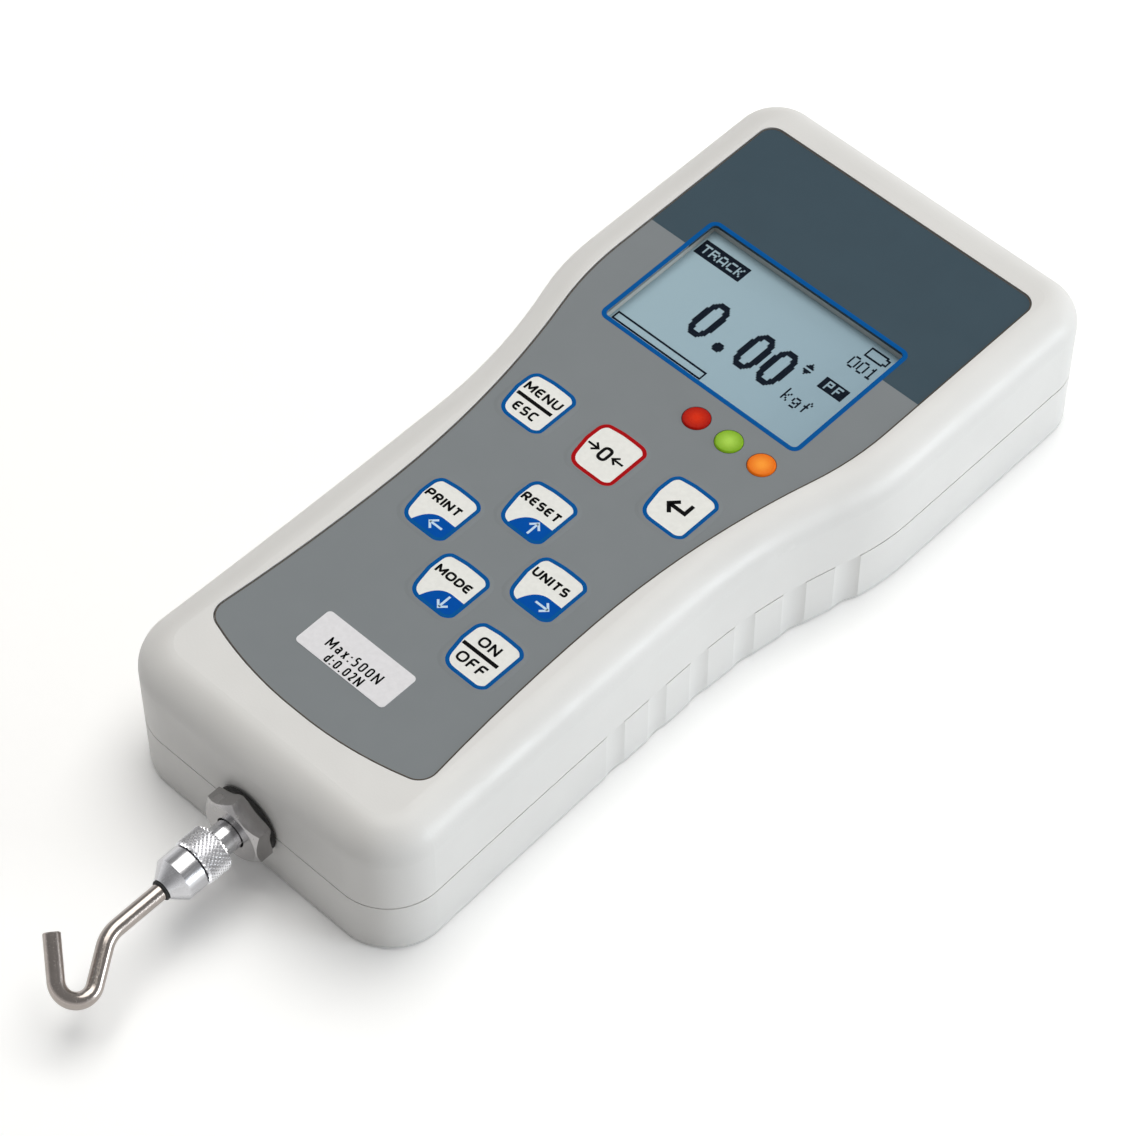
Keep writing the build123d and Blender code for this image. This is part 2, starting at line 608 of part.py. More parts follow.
def measuring_shaft():
    """The shaft from the beam, out through the nose to a collar, and on as the coupling stud."""
    stud_end_y = COUPLING_BACK_Y - STUD_ENGAGEMENT
    return turned([
        (0, CELL_NOSE_Y + CELL_SHAFT_DEPTH),
        (SHAFT_RADIUS, CELL_NOSE_Y + CELL_SHAFT_DEPTH),
        (SHAFT_RADIUS, HEX_FRONT_Y),
        (NECK_RADIUS, HEX_FRONT_Y),
        (NECK_RADIUS, RING_BACK_Y + FIT),
        (STUD_RADIUS, RING_BACK_Y + FIT),
        (STUD_RADIUS, stud_end_y + 0.4),
        (STUD_RADIUS - 0.4, stud_end_y),
        (0, stud_end_y),
    ])


def dust_washer():
    """The black washer between the nose and the hexagon."""
    return rod(WASHER_RADIUS, HEX_BACK_Y, HEX_BACK_Y + WASHER_THICKNESS) - rod(SHAFT_RADIUS, HEX_BACK_Y - 1, NOSE_Y)


def hex_nut():
    """The hexagon on the shaft, with its front corners turned off."""
    across_corners = HEX_ACROSS_FLATS / 3**0.5
    prism = extrude(RegularPolygon(HEX_ACROSS_FLATS / 2, 6, major_radius=False, rotation=90 - HEX_TURN), HEX_THICKNESS)
    prism = lay(0, HEX_BACK_Y, SHAFT_Z) * Rot(90, 0, 0) * prism
    chamfer_cone = turned([
        (0, HEX_BACK_Y),
        (across_corners + 1.2, HEX_BACK_Y),
        (across_corners + 0.6, HEX_FRONT_Y + HEX_CHAMFER),
        (HEX_ACROSS_FLATS / 2 - 0.3, HEX_FRONT_Y),
        (0, HEX_FRONT_Y),
    ])
    return (prism & chamfer_cone) - rod(SHAFT_RADIUS, HEX_FRONT_Y - 1, HEX_BACK_Y + 1)


def lock_ring():
    """The finger-turned locking ring behind the hook's coupling."""
    edge = 0.5
    bore = STUD_RADIUS + FIT
    return turned([
        (bore, RING_BACK_Y),
        (LOCK_RING_RADIUS - edge, RING_BACK_Y),
        (LOCK_RING_RADIUS, RING_BACK_Y - edge),
        (LOCK_RING_RADIUS, RING_FRONT_Y + edge),
        (LOCK_RING_RADIUS - edge, RING_FRONT_Y),
        (bore, RING_FRONT_Y),
    ])


def hook_coupling():
    """The coned coupling that screws on the stud and holds the hook's wire."""
    bore = STUD_RADIUS + FIT
    bore_end_y = COUPLING_BACK_Y - STUD_ENGAGEMENT - 0.4
    seat_y = COUPLING_TIP_Y + HOOK_SEAT
    return turned([
        (bore, COUPLING_BACK_Y),
        (COUPLING_RADIUS - 0.3, COUPLING_BACK_Y),
        (COUPLING_RADIUS, COUPLING_BACK_Y - 0.3),
        (COUPLING_RADIUS, CONE_Y),
        (COUPLING_TIP_RADIUS, COUPLING_TIP_Y),
        (HOOK_WIRE_RADIUS, COUPLING_TIP_Y),
        (HOOK_WIRE_RADIUS, seat_y),
        (0, seat_y),
        (0, bore_end_y),
        (bore, bore_end_y),
    ])


def tip_ring():
    """The small black ring where the wire leaves the coupling."""
    front_y = COUPLING_TIP_Y - TIP_RING_LENGTH
    edge = TIP_RING_LENGTH / 3
    return turned([
        (HOOK_WIRE_RADIUS, COUPLING_TIP_Y),
        (TIP_RING_RADIUS - edge, COUPLING_TIP_Y),
        (TIP_RING_RADIUS, COUPLING_TIP_Y - edge),
        (TIP_RING_RADIUS, front_y + edge),
        (TIP_RING_RADIUS - edge, front_y),
        (HOOK_WIRE_RADIUS, front_y),
    ])


def hook():
    """The bent wire hook: a straight shank, an offset bend, the bowl and a straight tip."""
    shank = Line((0, COUPLING_TIP_Y + HOOK_SEAT), (0, HOOK_SHANK_END_Y))
    bend = JernArc(shank @ 1, shank % 1, HOOK_BEND_RADIUS, HOOK_BEND_ANGLE)
    leg = Line(bend @ 1, bend @ 1 + (bend % 1) * HOOK_LEG)
    bowl = JernArc(leg @ 1, leg % 1, HOOK_BOWL_RADIUS, -HOOK_BOWL_ANGLE)
    tip = Line(bowl @ 1, bowl @ 1 + (bowl % 1) * HOOK_TIP_LEG)
    path = Wire([shank, bend, leg, bowl, tip])
    section = Plane(origin=path @ 0, z_dir=path % 0) * Circle(HOOK_WIRE_RADIUS)
    wire = sweep(section, path)
    tip_face = wire.faces().sort_by_distance(tip @ 1)[0]
    wire = chamfer(tip_face.edges(), HOOK_TIP_CHAMFER)
    return Pos(0, 0, SHAFT_Z) * Rot(0, HOOK_TILT, 0) * wire


def battery_places():
    """The x position of each battery."""
    first = -AA_PITCH * (CELL_COUNT - 1) / 2
    return [first + number * AA_PITCH for number in range(CELL_COUNT)]


def battery_holder():
    """The open tray that cradles the batteries."""
    half_width = AA_PITCH * CELL_COUNT / 2 + TRAY_RIM
    tray = box_between(
        (-half_width, AA_NOSE_Y - TRAY_END, FLOOR_Z),
        (half_width, AA_NOSE_Y + AA_LENGTH + TRAY_END + AA_CAP, AA_Z),
    )
    for x in battery_places():
        tray -= rod(AA_RADIUS + TRAY_GAP, AA_NOSE_Y - AA_CAP, AA_NOSE_Y + AA_LENGTH + 2 * AA_CAP, x=x, z=AA_Z)
    return tray


def batteries():
    """The batteries, each with its raised positive cap, in alternating directions."""
    cells = []
    for number, x in enumerate(battery_places()):
        body = rod(AA_RADIUS, AA_NOSE_Y, AA_NOSE_Y + AA_LENGTH, x=x, z=AA_Z)
        if number % 2:
            body += rod(AA_CAP_RADIUS, AA_NOSE_Y - AA_CAP, AA_NOSE_Y, x=x, z=AA_Z)
        else:
            body += rod(AA_CAP_RADIUS, AA_NOSE_Y + AA_LENGTH, AA_NOSE_Y + AA_LENGTH + AA_CAP, x=x, z=AA_Z)
        cells.append(body)
    return cells


def port_outline(grow=0.0):
    """The D shape of the data port, wide side up."""
    half_h = PORT_HALF_HEIGHT + grow
    wide, narrow = PORT_HALF_WIDTH + grow, PORT_HALF_WIDTH - PORT_TAPER + grow
    outline = Polygon((-wide, -half_h), (wide, -half_h), (narrow, half_h), (-narrow, half_h))
    return fillet(outline.vertices(), PORT_CORNER + grow)


def at_port(shape):
    """Turns a port piece drawn on z = 0 so that it faces out of the tail."""
    return lay(DATA_PORT_X, PORT_FLANGE_Y, PORT_Z) * Rot(-90, 0, 0) * shape


def data_port_shell():
    """The D-shaped metal shroud of the data port, with its flange."""
    depth = TAIL_Y - PORT_RECESS - PORT_FLANGE_Y
    flange = extrude(RectangleRounded(*PORT_FLANGE, PORT_CORNER), PORT_FLANGE_THICKNESS)
    body = extrude(port_outline(), depth) + flange
    body -= extrude(port_outline(-PORT_SHROUD), depth)
    for x in (-PORT_SCREW_X, PORT_SCREW_X):
        body -= Pos(x, 0, 0) * Cylinder(PORT_SCREW_RADIUS, 4 * PORT_FLANGE_THICKNESS)
    return at_port(body)


def data_port_insert():
    """The black insulator of the data port, with its rows of contact holes."""
    face_z = TAIL_Y - 2 * PORT_RECESS - PORT_FLANGE_Y
    block = extrude(port_outline(-PORT_SHROUD), face_z)
    block += Pos(0, 0, -PORT_BLOCK_DEPTH) * extrude(Rectangle(*PORT_BLOCK), PORT_BLOCK_DEPTH)
    for row_y, count in PORT_ROWS:
        for number in range(count):
            x = (number - (count - 1) / 2) * CONTACT_PITCH
            block -= Pos(x, row_y, face_z) * Cylinder(CONTACT_RADIUS, CONTACT_DEPTH)
    for x in (-PORT_SCREW_X, PORT_SCREW_X):
        block -= Pos(x, 0, 0) * Cylinder(PORT_SCREW_RADIUS, 2 * (JACKSCREW_STEM + 1))
    return at_port(block)


def port_jackscrews():
    """The two hexagonal jackscrews that flank the data port."""
    screws = []
    for x in (-PORT_SCREW_X, PORT_SCREW_X):
        head = extrude(RegularPolygon(JACKSCREW_INRADIUS, 6, major_radius=False), JACKSCREW_LENGTH)
        screw = Pos(0, 0, PORT_FLANGE_THICKNESS) * head
        screw += post(0, 0, -JACKSCREW_STEM, PORT_FLANGE_THICKNESS, PORT_SCREW_RADIUS)
        screw -= post(0, 0, JACKSCREW_BORE_FLOOR - 2, JACKSCREW_BORE_FLOOR + 2, JACKSCREW_BORE)
        screws.append(at_port(Pos(x, 0, 0) * screw))
    return screws


def power_jack():
    """The barrel socket for the power adapter, with its centre pin."""
    nose_y, bore_y = TAIL_Y - WALL - 0.5, TAIL_Y - POWER_JACK_BORE_DEPTH
    body = box_between(
        (POWER_JACK_X - POWER_JACK_HALF_WIDTH, TAIL_Y - POWER_JACK_LENGTH, POWER_JACK_Z - 5.0),
        (POWER_JACK_X + POWER_JACK_HALF_WIDTH, nose_y, BOARD_LOW_Z),
    )
    body += rod(POWER_JACK_NOSE_RADIUS, nose_y, TAIL_Y - PORT_RECESS, x=POWER_JACK_X, z=POWER_JACK_Z)
    body -= rod(POWER_JACK_BORE_RADIUS, bore_y, TAIL_Y, x=POWER_JACK_X, z=POWER_JACK_Z)
    return body + rod(POWER_JACK_PIN_RADIUS, bore_y - 0.5, TAIL_Y - 2.0, x=POWER_JACK_X, z=POWER_JACK_Z)


def battery_contacts():
    """The spring plates at both ends of each battery."""
    plates = []
    for x in battery_places():
        width, thickness, height = CONTACT_SIZE
        for y in (AA_NOSE_Y - CONTACT_GAP - thickness, AA_NOSE_Y + AA_LENGTH + CONTACT_GAP):
            plates.append(box_between((x - width / 2, y, AA_Z), (x + width / 2, y + thickness, AA_Z + height)))
    return plates


def gauge_potting():
    """The sealing compound that fills the beam's eye over the strain gauges."""
    centre_y = (CELL_NOSE_Y + CELL_TAIL_Y) / 2
    return post(0, centre_y, SHAFT_Z - 5.0, SHAFT_Z + 5.0, CELL_GAUGE_RADIUS)


def cell_flex():
    """The flat strip that takes the beam's signal along its top to the board."""
    centre_y = (CELL_NOSE_Y + CELL_TAIL_Y) / 2
    top_z = SHAFT_Z + CELL_HEIGHT / 2
    riser = box_between((-3, centre_y - 0.3, SHAFT_Z + 5.0), (3, centre_y, top_z + 0.6))
    return riser + box_between((-3, centre_y - 0.3, top_z + 0.3), (3, BOARD_NOSE_Y + 1.0, top_z + 0.6))


def cell_connector():
    """The connector under the board that takes the beam's strip."""
    low_z = SHAFT_Z + CELL_HEIGHT / 2 + 0.1
    block = box_between((-5, BOARD_NOSE_Y + 1.0, low_z), (5, BOARD_NOSE_Y + 5.0, BOARD_LOW_Z))
    return chamfer(block.faces().sort_by(Axis.Y)[0].edges().sort_by(Axis.Z)[0], 0.4)


def keypad_tail():
    """The keypad's flat tail, down through the slot to the board."""
    half = TAIL_WIDTH / 2
    return box_between(
        (TAIL_X - half, TAIL_SLOT_Y - TAIL_SHEET / 2, BOARD_TOP_Z + 1.6),
        (TAIL_X + half, TAIL_SLOT_Y + TAIL_SHEET / 2, RECESS_FLOOR_Z),
    )


def tail_connector():
    """The connector on the board that grips the keypad's tail."""
    half = TAIL_WIDTH / 2 + 1.5
    block = box_between(
        (TAIL_X - half, TAIL_SLOT_Y - 1.6, BOARD_TOP_Z),
        (TAIL_X + half, TAIL_SLOT_Y + 1.6, BOARD_TOP_Z + 1.8),
    )
    slot = box_between(
        (TAIL_X - TAIL_WIDTH / 2, TAIL_SLOT_Y - TAIL_SHEET / 2, BOARD_TOP_Z + 1.6),
        (TAIL_X + TAIL_WIDTH / 2, TAIL_SLOT_Y + TAIL_SHEET / 2, BOARD_TOP_Z + 1.8),
    )
    return block - slot


def processor():
    """The processor chip with its four rows of leads."""
    body = chamfer(Box(12, 12, 1.3).edges().group_by(Axis.Z)[-1], 0.2)
    for turn in range(4):
        for number in range(9):
            lead = Pos(6.5, (number - 4) * 1.1, -0.5) * Box(1.2, 0.4, 0.3)
            body += Rot(0, 0, 90 * turn) * lead
    return lay(6.0, -4.0, BOARD_TOP_Z + 0.65) * body


def amplifier_shield():
    """The pressed metal can over the input amplifier."""
    can = Box(13, 11, 2.0)
    can = fillet(can.edges().filter_by(Axis.Z), 0.8)
    return lay(-14.0, -12.0, BOARD_TOP_Z + 1.0) * chamfer(can.edges().group_by(Axis.Z)[-1], 0.3)


def buzzer():
    """The sounder on the board's underside, with its port."""
    body = post(18.0, -20.0, BOARD_LOW_Z - 4.0, BOARD_LOW_Z, 5.0)
    return body - post(18.0, -20.0, BOARD_LOW_Z - 4.0, BOARD_LOW_Z - 3.0, 0.9)


pieces = {
    "upper_housing": upper_housing(),
    "lower_housing": lower_housing(),
    "faceplate": faceplate(),
    "display_window": display_window(),
    "switch_membrane": switch_membrane(),
    "key_domes": key_domes(),
    "lcd_bezel": lcd_bezel(),
    "lcd_glass": lcd_layer(GLASS_TOP_Z - GLASS_THICKNESS, GLASS_TOP_Z),
    "lcd_backlight": lcd_layer(BOARD_TOP_Z, GLASS_TOP_Z - GLASS_THICKNESS),
    "main_board": main_board(),
    "board_screws": board_screws(),
    "housing_screws": housing_screws(),
    "load_cell": load_cell(),
    "chassis": chassis(),
    "cell_bolt": cell_bolt(),
    "measuring_shaft": measuring_shaft(),
    "dust_washer": dust_washer(),
    "hex_nut": hex_nut(),
    "lock_ring": lock_ring(),
    "hook_coupling": hook_coupling(),
    "tip_ring": tip_ring(),
    "hook": hook(),
    "battery_holder": battery_holder(),
    "batteries": batteries(),
    "data_port_shell": data_port_shell(),
    "data_port_insert": data_port_insert(),
    "port_jackscrews": port_jackscrews(),
    "power_jack": power_jack(),
    "battery_contacts": battery_contacts(),
    "gauge_potting": gauge_potting(),
    "cell_flex": cell_flex(),
    "cell_connector": cell_connector(),
    "keypad_tail": keypad_tail(),
    "tail_connector": tail_connector(),
    "processor": processor(),
    "amplifier_shield": amplifier_shield(),
    "buzzer": buzzer(),
}
for key_name, (key_x, key_y) in KEYS.items():
    pieces[key_name] = key_pad(key_x, key_y)
for lamp_name, lamp_x in LEDS.items():
    pieces[lamp_name] = lamp(lamp_x)

for node, shape in pieces.items():
    solid = Compound(children=[part for part in shape]) if isinstance(shape, list) else shape
    export_step(solid, f"parts/{node}.step")
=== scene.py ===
"""Looks of a handheld digital force gauge with a hook, laid out as a Blender add-on and run as a script."""

import math

import bmesh
import bpy
from mathutils import Matrix, Vector


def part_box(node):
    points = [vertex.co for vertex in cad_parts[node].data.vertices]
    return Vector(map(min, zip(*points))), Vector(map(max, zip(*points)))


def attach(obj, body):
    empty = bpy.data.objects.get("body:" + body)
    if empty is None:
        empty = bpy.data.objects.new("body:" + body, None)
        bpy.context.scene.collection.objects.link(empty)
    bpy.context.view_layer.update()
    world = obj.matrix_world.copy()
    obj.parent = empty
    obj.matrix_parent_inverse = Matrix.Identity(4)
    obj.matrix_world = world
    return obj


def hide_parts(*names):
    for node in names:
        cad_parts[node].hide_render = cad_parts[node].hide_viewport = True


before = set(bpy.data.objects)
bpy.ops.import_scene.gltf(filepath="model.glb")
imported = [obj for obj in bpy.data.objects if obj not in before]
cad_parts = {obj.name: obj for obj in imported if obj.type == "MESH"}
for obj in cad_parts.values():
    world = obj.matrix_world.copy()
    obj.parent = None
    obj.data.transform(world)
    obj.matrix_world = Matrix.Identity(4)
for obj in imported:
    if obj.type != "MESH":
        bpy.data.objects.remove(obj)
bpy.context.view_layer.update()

bl_info = {
    "name": "Force gauge finishes",
    "version": (1, 0, 0),
    "blender": (4, 5, 0),
    "location": "3D View > Sidebar > Gauge",
    "description": "Finishes, prints and stage for a handheld digital force gauge",
    "category": "Object",
}

MM = 0.001

# Heights of the faces that carry print, taken from the frame.
FACE_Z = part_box("faceplate")[1].z
KEY_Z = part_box("menu_key")[1].z
GLASS_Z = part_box("lcd_glass")[1].z
TOP_SLACK = 0.01 * MM           # a point this little below a node's highest one is on its top face
INK_SINK = 0.02 * MM            # how deep a print's solid reaches into what it is printed on
INK_RISE = 0.03 * MM            # and how far it stands proud
THIN_RISE = INK_RISE / 2        # the same for the display's dots and the painted shadow line round the film
UNDER_RISE = INK_RISE * 0.8     # the same for a field that other print lies on or against

# The front film: the painted shadow line round it, the line round its window, and where it runs up to a key.
EDGE_SHADOW_WIDTH = 0.16 * MM           # width of the dark line at its edge, a painted shadow of the gap to the housing
FRAME_CORNER = 1.7 * MM         # outer corner of the window's blue line
WINDOW_CORNER = 0.9 * MM        # and its inner corner
WINDOW_GAP = 0.02 * MM          # what the blue line leaves free across the window
FILM_LAP = 0.1 * MM             # how far past a key the film stays at the key's height
FILM_FOOT = 0.7 * MM            # how far past a key its slope runs out
FOOT_RISE = INK_SINK * 0.2      # how far the end of that slope stands over the film

# The turned hexagon on the measuring shaft.
NUT_FLATS = 12.0 * MM           # across its flats
NUT_BORE = 3.02 * MM            # radius of its bore
NUT_EXTRA = 1.2 * MM            # how much further forward it stands than the plain node
NUT_FACE = 0.97                 # its round front face, as a share of the flats
NUT_CHAMFER = 0.9               # how far its corners fall back for each step outwards
NUT_STEPS = 72                  # points round it

# The knurled locking ring.
KNURL_BORE = 2.25 * MM          # radius of its bore
KNURL_STEPS = 6                 # points to a groove, round the ring and along it
KNURL_END = 0.45 * MM           # length of the slope at each end
KNURL_FALL = 0.6                # how far that slope falls, as a share of its length

KEY_NODES = [
    "menu_key", "zero_key", "enter_key", "reset_key", "print_key", "units_key", "mode_key", "power_key",
]
ARROW_TURNS = {"reset_key": 90.0, "print_key": 180.0, "units_key": 0.0, "mode_key": 270.0}

# A key's printed outline round its middle, in millimetres, anticlockwise:
# each corner and the reach of its rounding.
KEY_CORNERS = [
    ((5.15, 5.5), 1.7), ((0.3, 5.8), 3.0), ((-5.1, 5.1), 2.3),
    ((-5.75, 2.0), 2.4), ((-4.4, -5.5), 2.7), ((5.1, -5.5), 1.9),
]
KEY_MARGIN = 0.03 * MM          # what a key's print leaves free at the key's edge

# Where the blue field of an arrow key begins at the bottom, bends and ends at the right.
SWOOSH_BEND = [(-2.4, -5.3), (-1.3, -1.1), (1.7, -1.05), (4.9, -1.1)]
SWOOSH_STEPS = 12               # points along its bend

# The small arrow on that field: its middle on the key and, about that middle, its shaft and its head
# as they lie before it is turned.
ARROW_MIDDLE = (1.75, -2.98)
ARROW_PATHS = [[(-1.4, 0), (1.3, 0)], [(0.3, 1.1), (1.4, 0), (0.3, -1.1)]]
ARROW_STROKE = 0.42 * MM
ARROW_RISE = INK_RISE * 1.4

# The marks of the zero key and the enter key, as paths in millimetres from the key's middle.
ZERO_RING = [(-1.2, -1.45), (-1.2, 1.2), (0.35, 1.2), (0.35, -1.45)]
ZERO_ROUNDING = 1.1 * MM
ZERO_STROKE = 0.58 * MM
ZERO_MIDDLE = -0.4              # where the middle of the whole mark lies across the key
ZERO_SHAFT = (3.95, 1.75)       # from there to the outer and inner end of each arrow's shaft
ZERO_HEAD = [(2.65, 0.9), (1.65, 0), (2.65, -0.9)]
ZERO_ARROW_STROKE = 0.42 * MM
ENTER_PATHS = [[(1.62, 1.85), (1.62, -0.38), (-1.6, -0.38)], [(-0.55, 1.1), (-1.95, -0.38), (-0.55, -1.9)]]
ENTER_STROKE = 0.74 * MM

# Each key's words: the word, its middle on the key, its width and its height, in millimetres.
KEY_WORDS = {
    "menu_key": [("MENU", (-0.3, 1.95), 8.0, 1.95), ("ESC", (-0.27, -2.58), 5.2, 2.0)],
    "power_key": [("ON", (-0.55, 2.16), 4.3, 2.07), ("OFF", (-0.28, -2.27), 6.2, 2.15)],
    "reset_key": [("RESET", (-0.33, 1.32), 8.35, 1.82)],
    "print_key": [("PRINT", (-0.67, 1.43), 7.73, 1.82)],
    "units_key": [("UNITS", (-0.53, 1.6), 7.7, 1.85)],
    "mode_key": [("MODE", (-0.38, 1.51), 7.67, 1.77)],
}
KEY_BARS = {"menu_key": ((-4.3, -0.3), (3.64, -0.3)), "power_key": ((-4.45, 0.0), (3.33, 0.0))}

# The rating label, and its lines in the same form as a key's words, placed from its middle.
LABEL_MIDDLE = (-0.6, -59.35)
LABEL_SIZE = (20.2 * MM, 8.2 * MM)
LABEL_CORNER = 0.8 * MM
LABEL_RISE = 0.07 * MM
LABEL_STROKE = 0.32 * MM
LABEL_LINES = [("Max:500N", (0.15, -0.42), 11.9, 2.06), ("d:0.02N", (0.2, -2.9), 8.0, 1.9)]

# How finely outlines are drawn.
CORNER_STEPS = 6                # points less one at each round corner
SPOKES = 144                    # rays from the middle of an outline that is redrawn at even turns
SHARE_SLACK = 1e-4              # lets a ray through a corner count as a hit
PARALLEL = 1e-15                # below this a ray runs along a side
SAME_POINT = 1e-7               # points nearer than this, in metres, are one
PLACES = 7                      # decimals by which points of the frame's meshes are matched
MITRE_LIMIT = 0.5               # keeps a stroke's sharp corners from running out far

# The stage, in metres.
FLOOR_REACH = 6.0               # half the floor's width
FLOOR_Z = -0.0002               # just under the underside
FLOOR_COLOUR = (0.93, 0.93, 0.93)
FLOOR_LIFT = 0.22               # how much paler it is to the eye than to the part, so open floor is white
FLOOR_FADE = (0.25, 0.8)        # distances from the part between which it fades to plain white
SIDE_LAMP = {"place": (0.88, 0.42, 0.14), "size": 0.3, "colour": (0.88, 0.95, 1.0)}
TOP_LAMP = {"place": (-0.1, 0.2, 1.0), "size": 0.85, "colour": (1.0, 0.985, 0.95)}
CAMERA_AIM = (3.9, -14.035, 15.0)       # millimetres
CAMERA_SENSOR = 36.0            # millimetres
CAMERA_CLIP = 0.01              # nearest distance that the camera shows


# --- Colours ------------------------------------------------------------------

def srgb(red, green, blue):
    """A linear RGBA colour from 0-255 display values."""
    def linear(value):
        value /= 255.0
        return value / 12.92 if value <= 0.04045 else ((value + 0.055) / 1.055) ** 2.4
    return (linear(red), linear(green), linear(blue), 1.0)


def colour_property(name, description, value):
    """A colour that a user can change."""
    return bpy.props.FloatVectorProperty(
        name=name, description=description, default=value[:3], size=3, min=0.0, max=1.0, subtype="COLOR"
    )


def length_property(name, description, millimetres):
    """A length that a user can change."""
    return bpy.props.FloatProperty(
        name=name, description=description, default=millimetres * MM, min=0.0, unit="LENGTH", precision=5
    )


def angle_property(name, description, degrees):
    """An angle that a user can change."""
    return bpy.props.FloatProperty(
        name=name, description=description, default=math.radians(degrees), subtype="ANGLE", unit="ROTATION"
    )


def power_property(name, description, watts):
    """A lamp's power that a user can change."""
    return bpy.props.FloatProperty(name=name, description=description, default=watts, min=0)


class GaugeHousingSettings(bpy.types.PropertyGroup):
    """Colours and textures of the housing and its film"""
    shell_colour: colour_property("Shell", "Moulded housing", srgb(218, 217, 215))
    shell_grain: length_property("Shell grain", "Spacing of the moulded texture", 0.35)
    panel_colour: colour_property("Panel", "Lower field of the front film", srgb(126, 131, 134))
    band_colour: colour_property("Band", "Upper field of the front film", srgb(58, 76, 87))
    band_edge: length_property("Band edge", "Y of the line between the two fields", 44.2)
    film_grain: length_property("Film grain", "Spacing of the film's fine texture", 0.12)


class GaugePrintSettings(bpy.types.PropertyGroup):
    """Inks and line widths of the prints"""
    blue: colour_property("Blue ink", "Window frame and key borders", srgb(6, 84, 152))
    swoosh: colour_property("Swoosh ink", "Lower corner of the arrow keys", srgb(0, 78, 166))
    red: colour_property("Red ink", "Border of the zero key", srgb(168, 14, 20))
    black: colour_property("Black ink", "Words and symbols", srgb(14, 14, 15))
    white: colour_property("White ink", "Key faces", srgb(232, 232, 228))
    pale: colour_property("Pale ink", "Arrows on the blue fields", srgb(196, 220, 240))
    key_border: length_property("Key border", "Width of the line round each key", 0.72)
    frame_line: length_property("Frame line", "Width of the line round the window", 0.87)
    letter_stroke: length_property("Letter stroke", "Width of the letters' strokes", 0.43)
    bar: length_property("Bar", "Width of the bar between two words", 0.72)


class GaugeDisplaySettings(bpy.types.PropertyGroup):
    """The display's colours and dots"""
    glass: colour_property("Glass", "Lit face of the display", srgb(164, 189, 200))
    dots: colour_property("Dots", "Dark dots of the display", srgb(14, 24, 38))
    dot_width: length_property("Dot width", "Pitch of the dots across", 0.3295)
    dot_height: length_property("Dot height", "Pitch of the dots upwards", 0.416)


class GaugeMetalSettings(bpy.types.PropertyGroup):
    """Metals of the measuring line and the knurl"""
    steel: colour_property("Steel", "Hook wire", srgb(166, 158, 153))
    nickel: colour_property("Nickel", "Plated fittings", srgb(200, 200, 203))
    knurl_pitch: length_property("Knurl pitch", "Spacing of the knurl's grooves", 0.92)
    knurl_depth: length_property("Knurl depth", "Depth of the knurl's grooves", 0.3)


class GaugeStageSettings(bpy.types.PropertyGroup):
    """The camera's place and the lamps' power"""
    azimuth: angle_property("Azimuth", "Camera's turn about Z", 43.3968)
    elevation: angle_property("Elevation", "Camera's height angle", 52.7774)
    roll: angle_property("Roll", "Camera's turn about its own axis", 0.0784)
    distance: length_property("Distance", "Camera to its aim", 669.16)
    lens: bpy.props.FloatProperty(
        name="Lens", description="Focal length on a 36 mm sensor", default=124.93, min=10, max=400,
        unit="CAMERA",
    )
    side_power: power_property("Side power", "Soft lamp low at the right", 4.5)
    top_power: power_property("Top power", "Soft lamp overhead", 7.5)


SETTINGS = {
    "gauge_housing": GaugeHousingSettings,
    "gauge_print": GaugePrintSettings,
    "gauge_display": GaugeDisplaySettings,
    "gauge_metal": GaugeMetalSettings,
    "gauge_stage": GaugeStageSettings,
}


# --- Materials ----------------------------------------------------------------

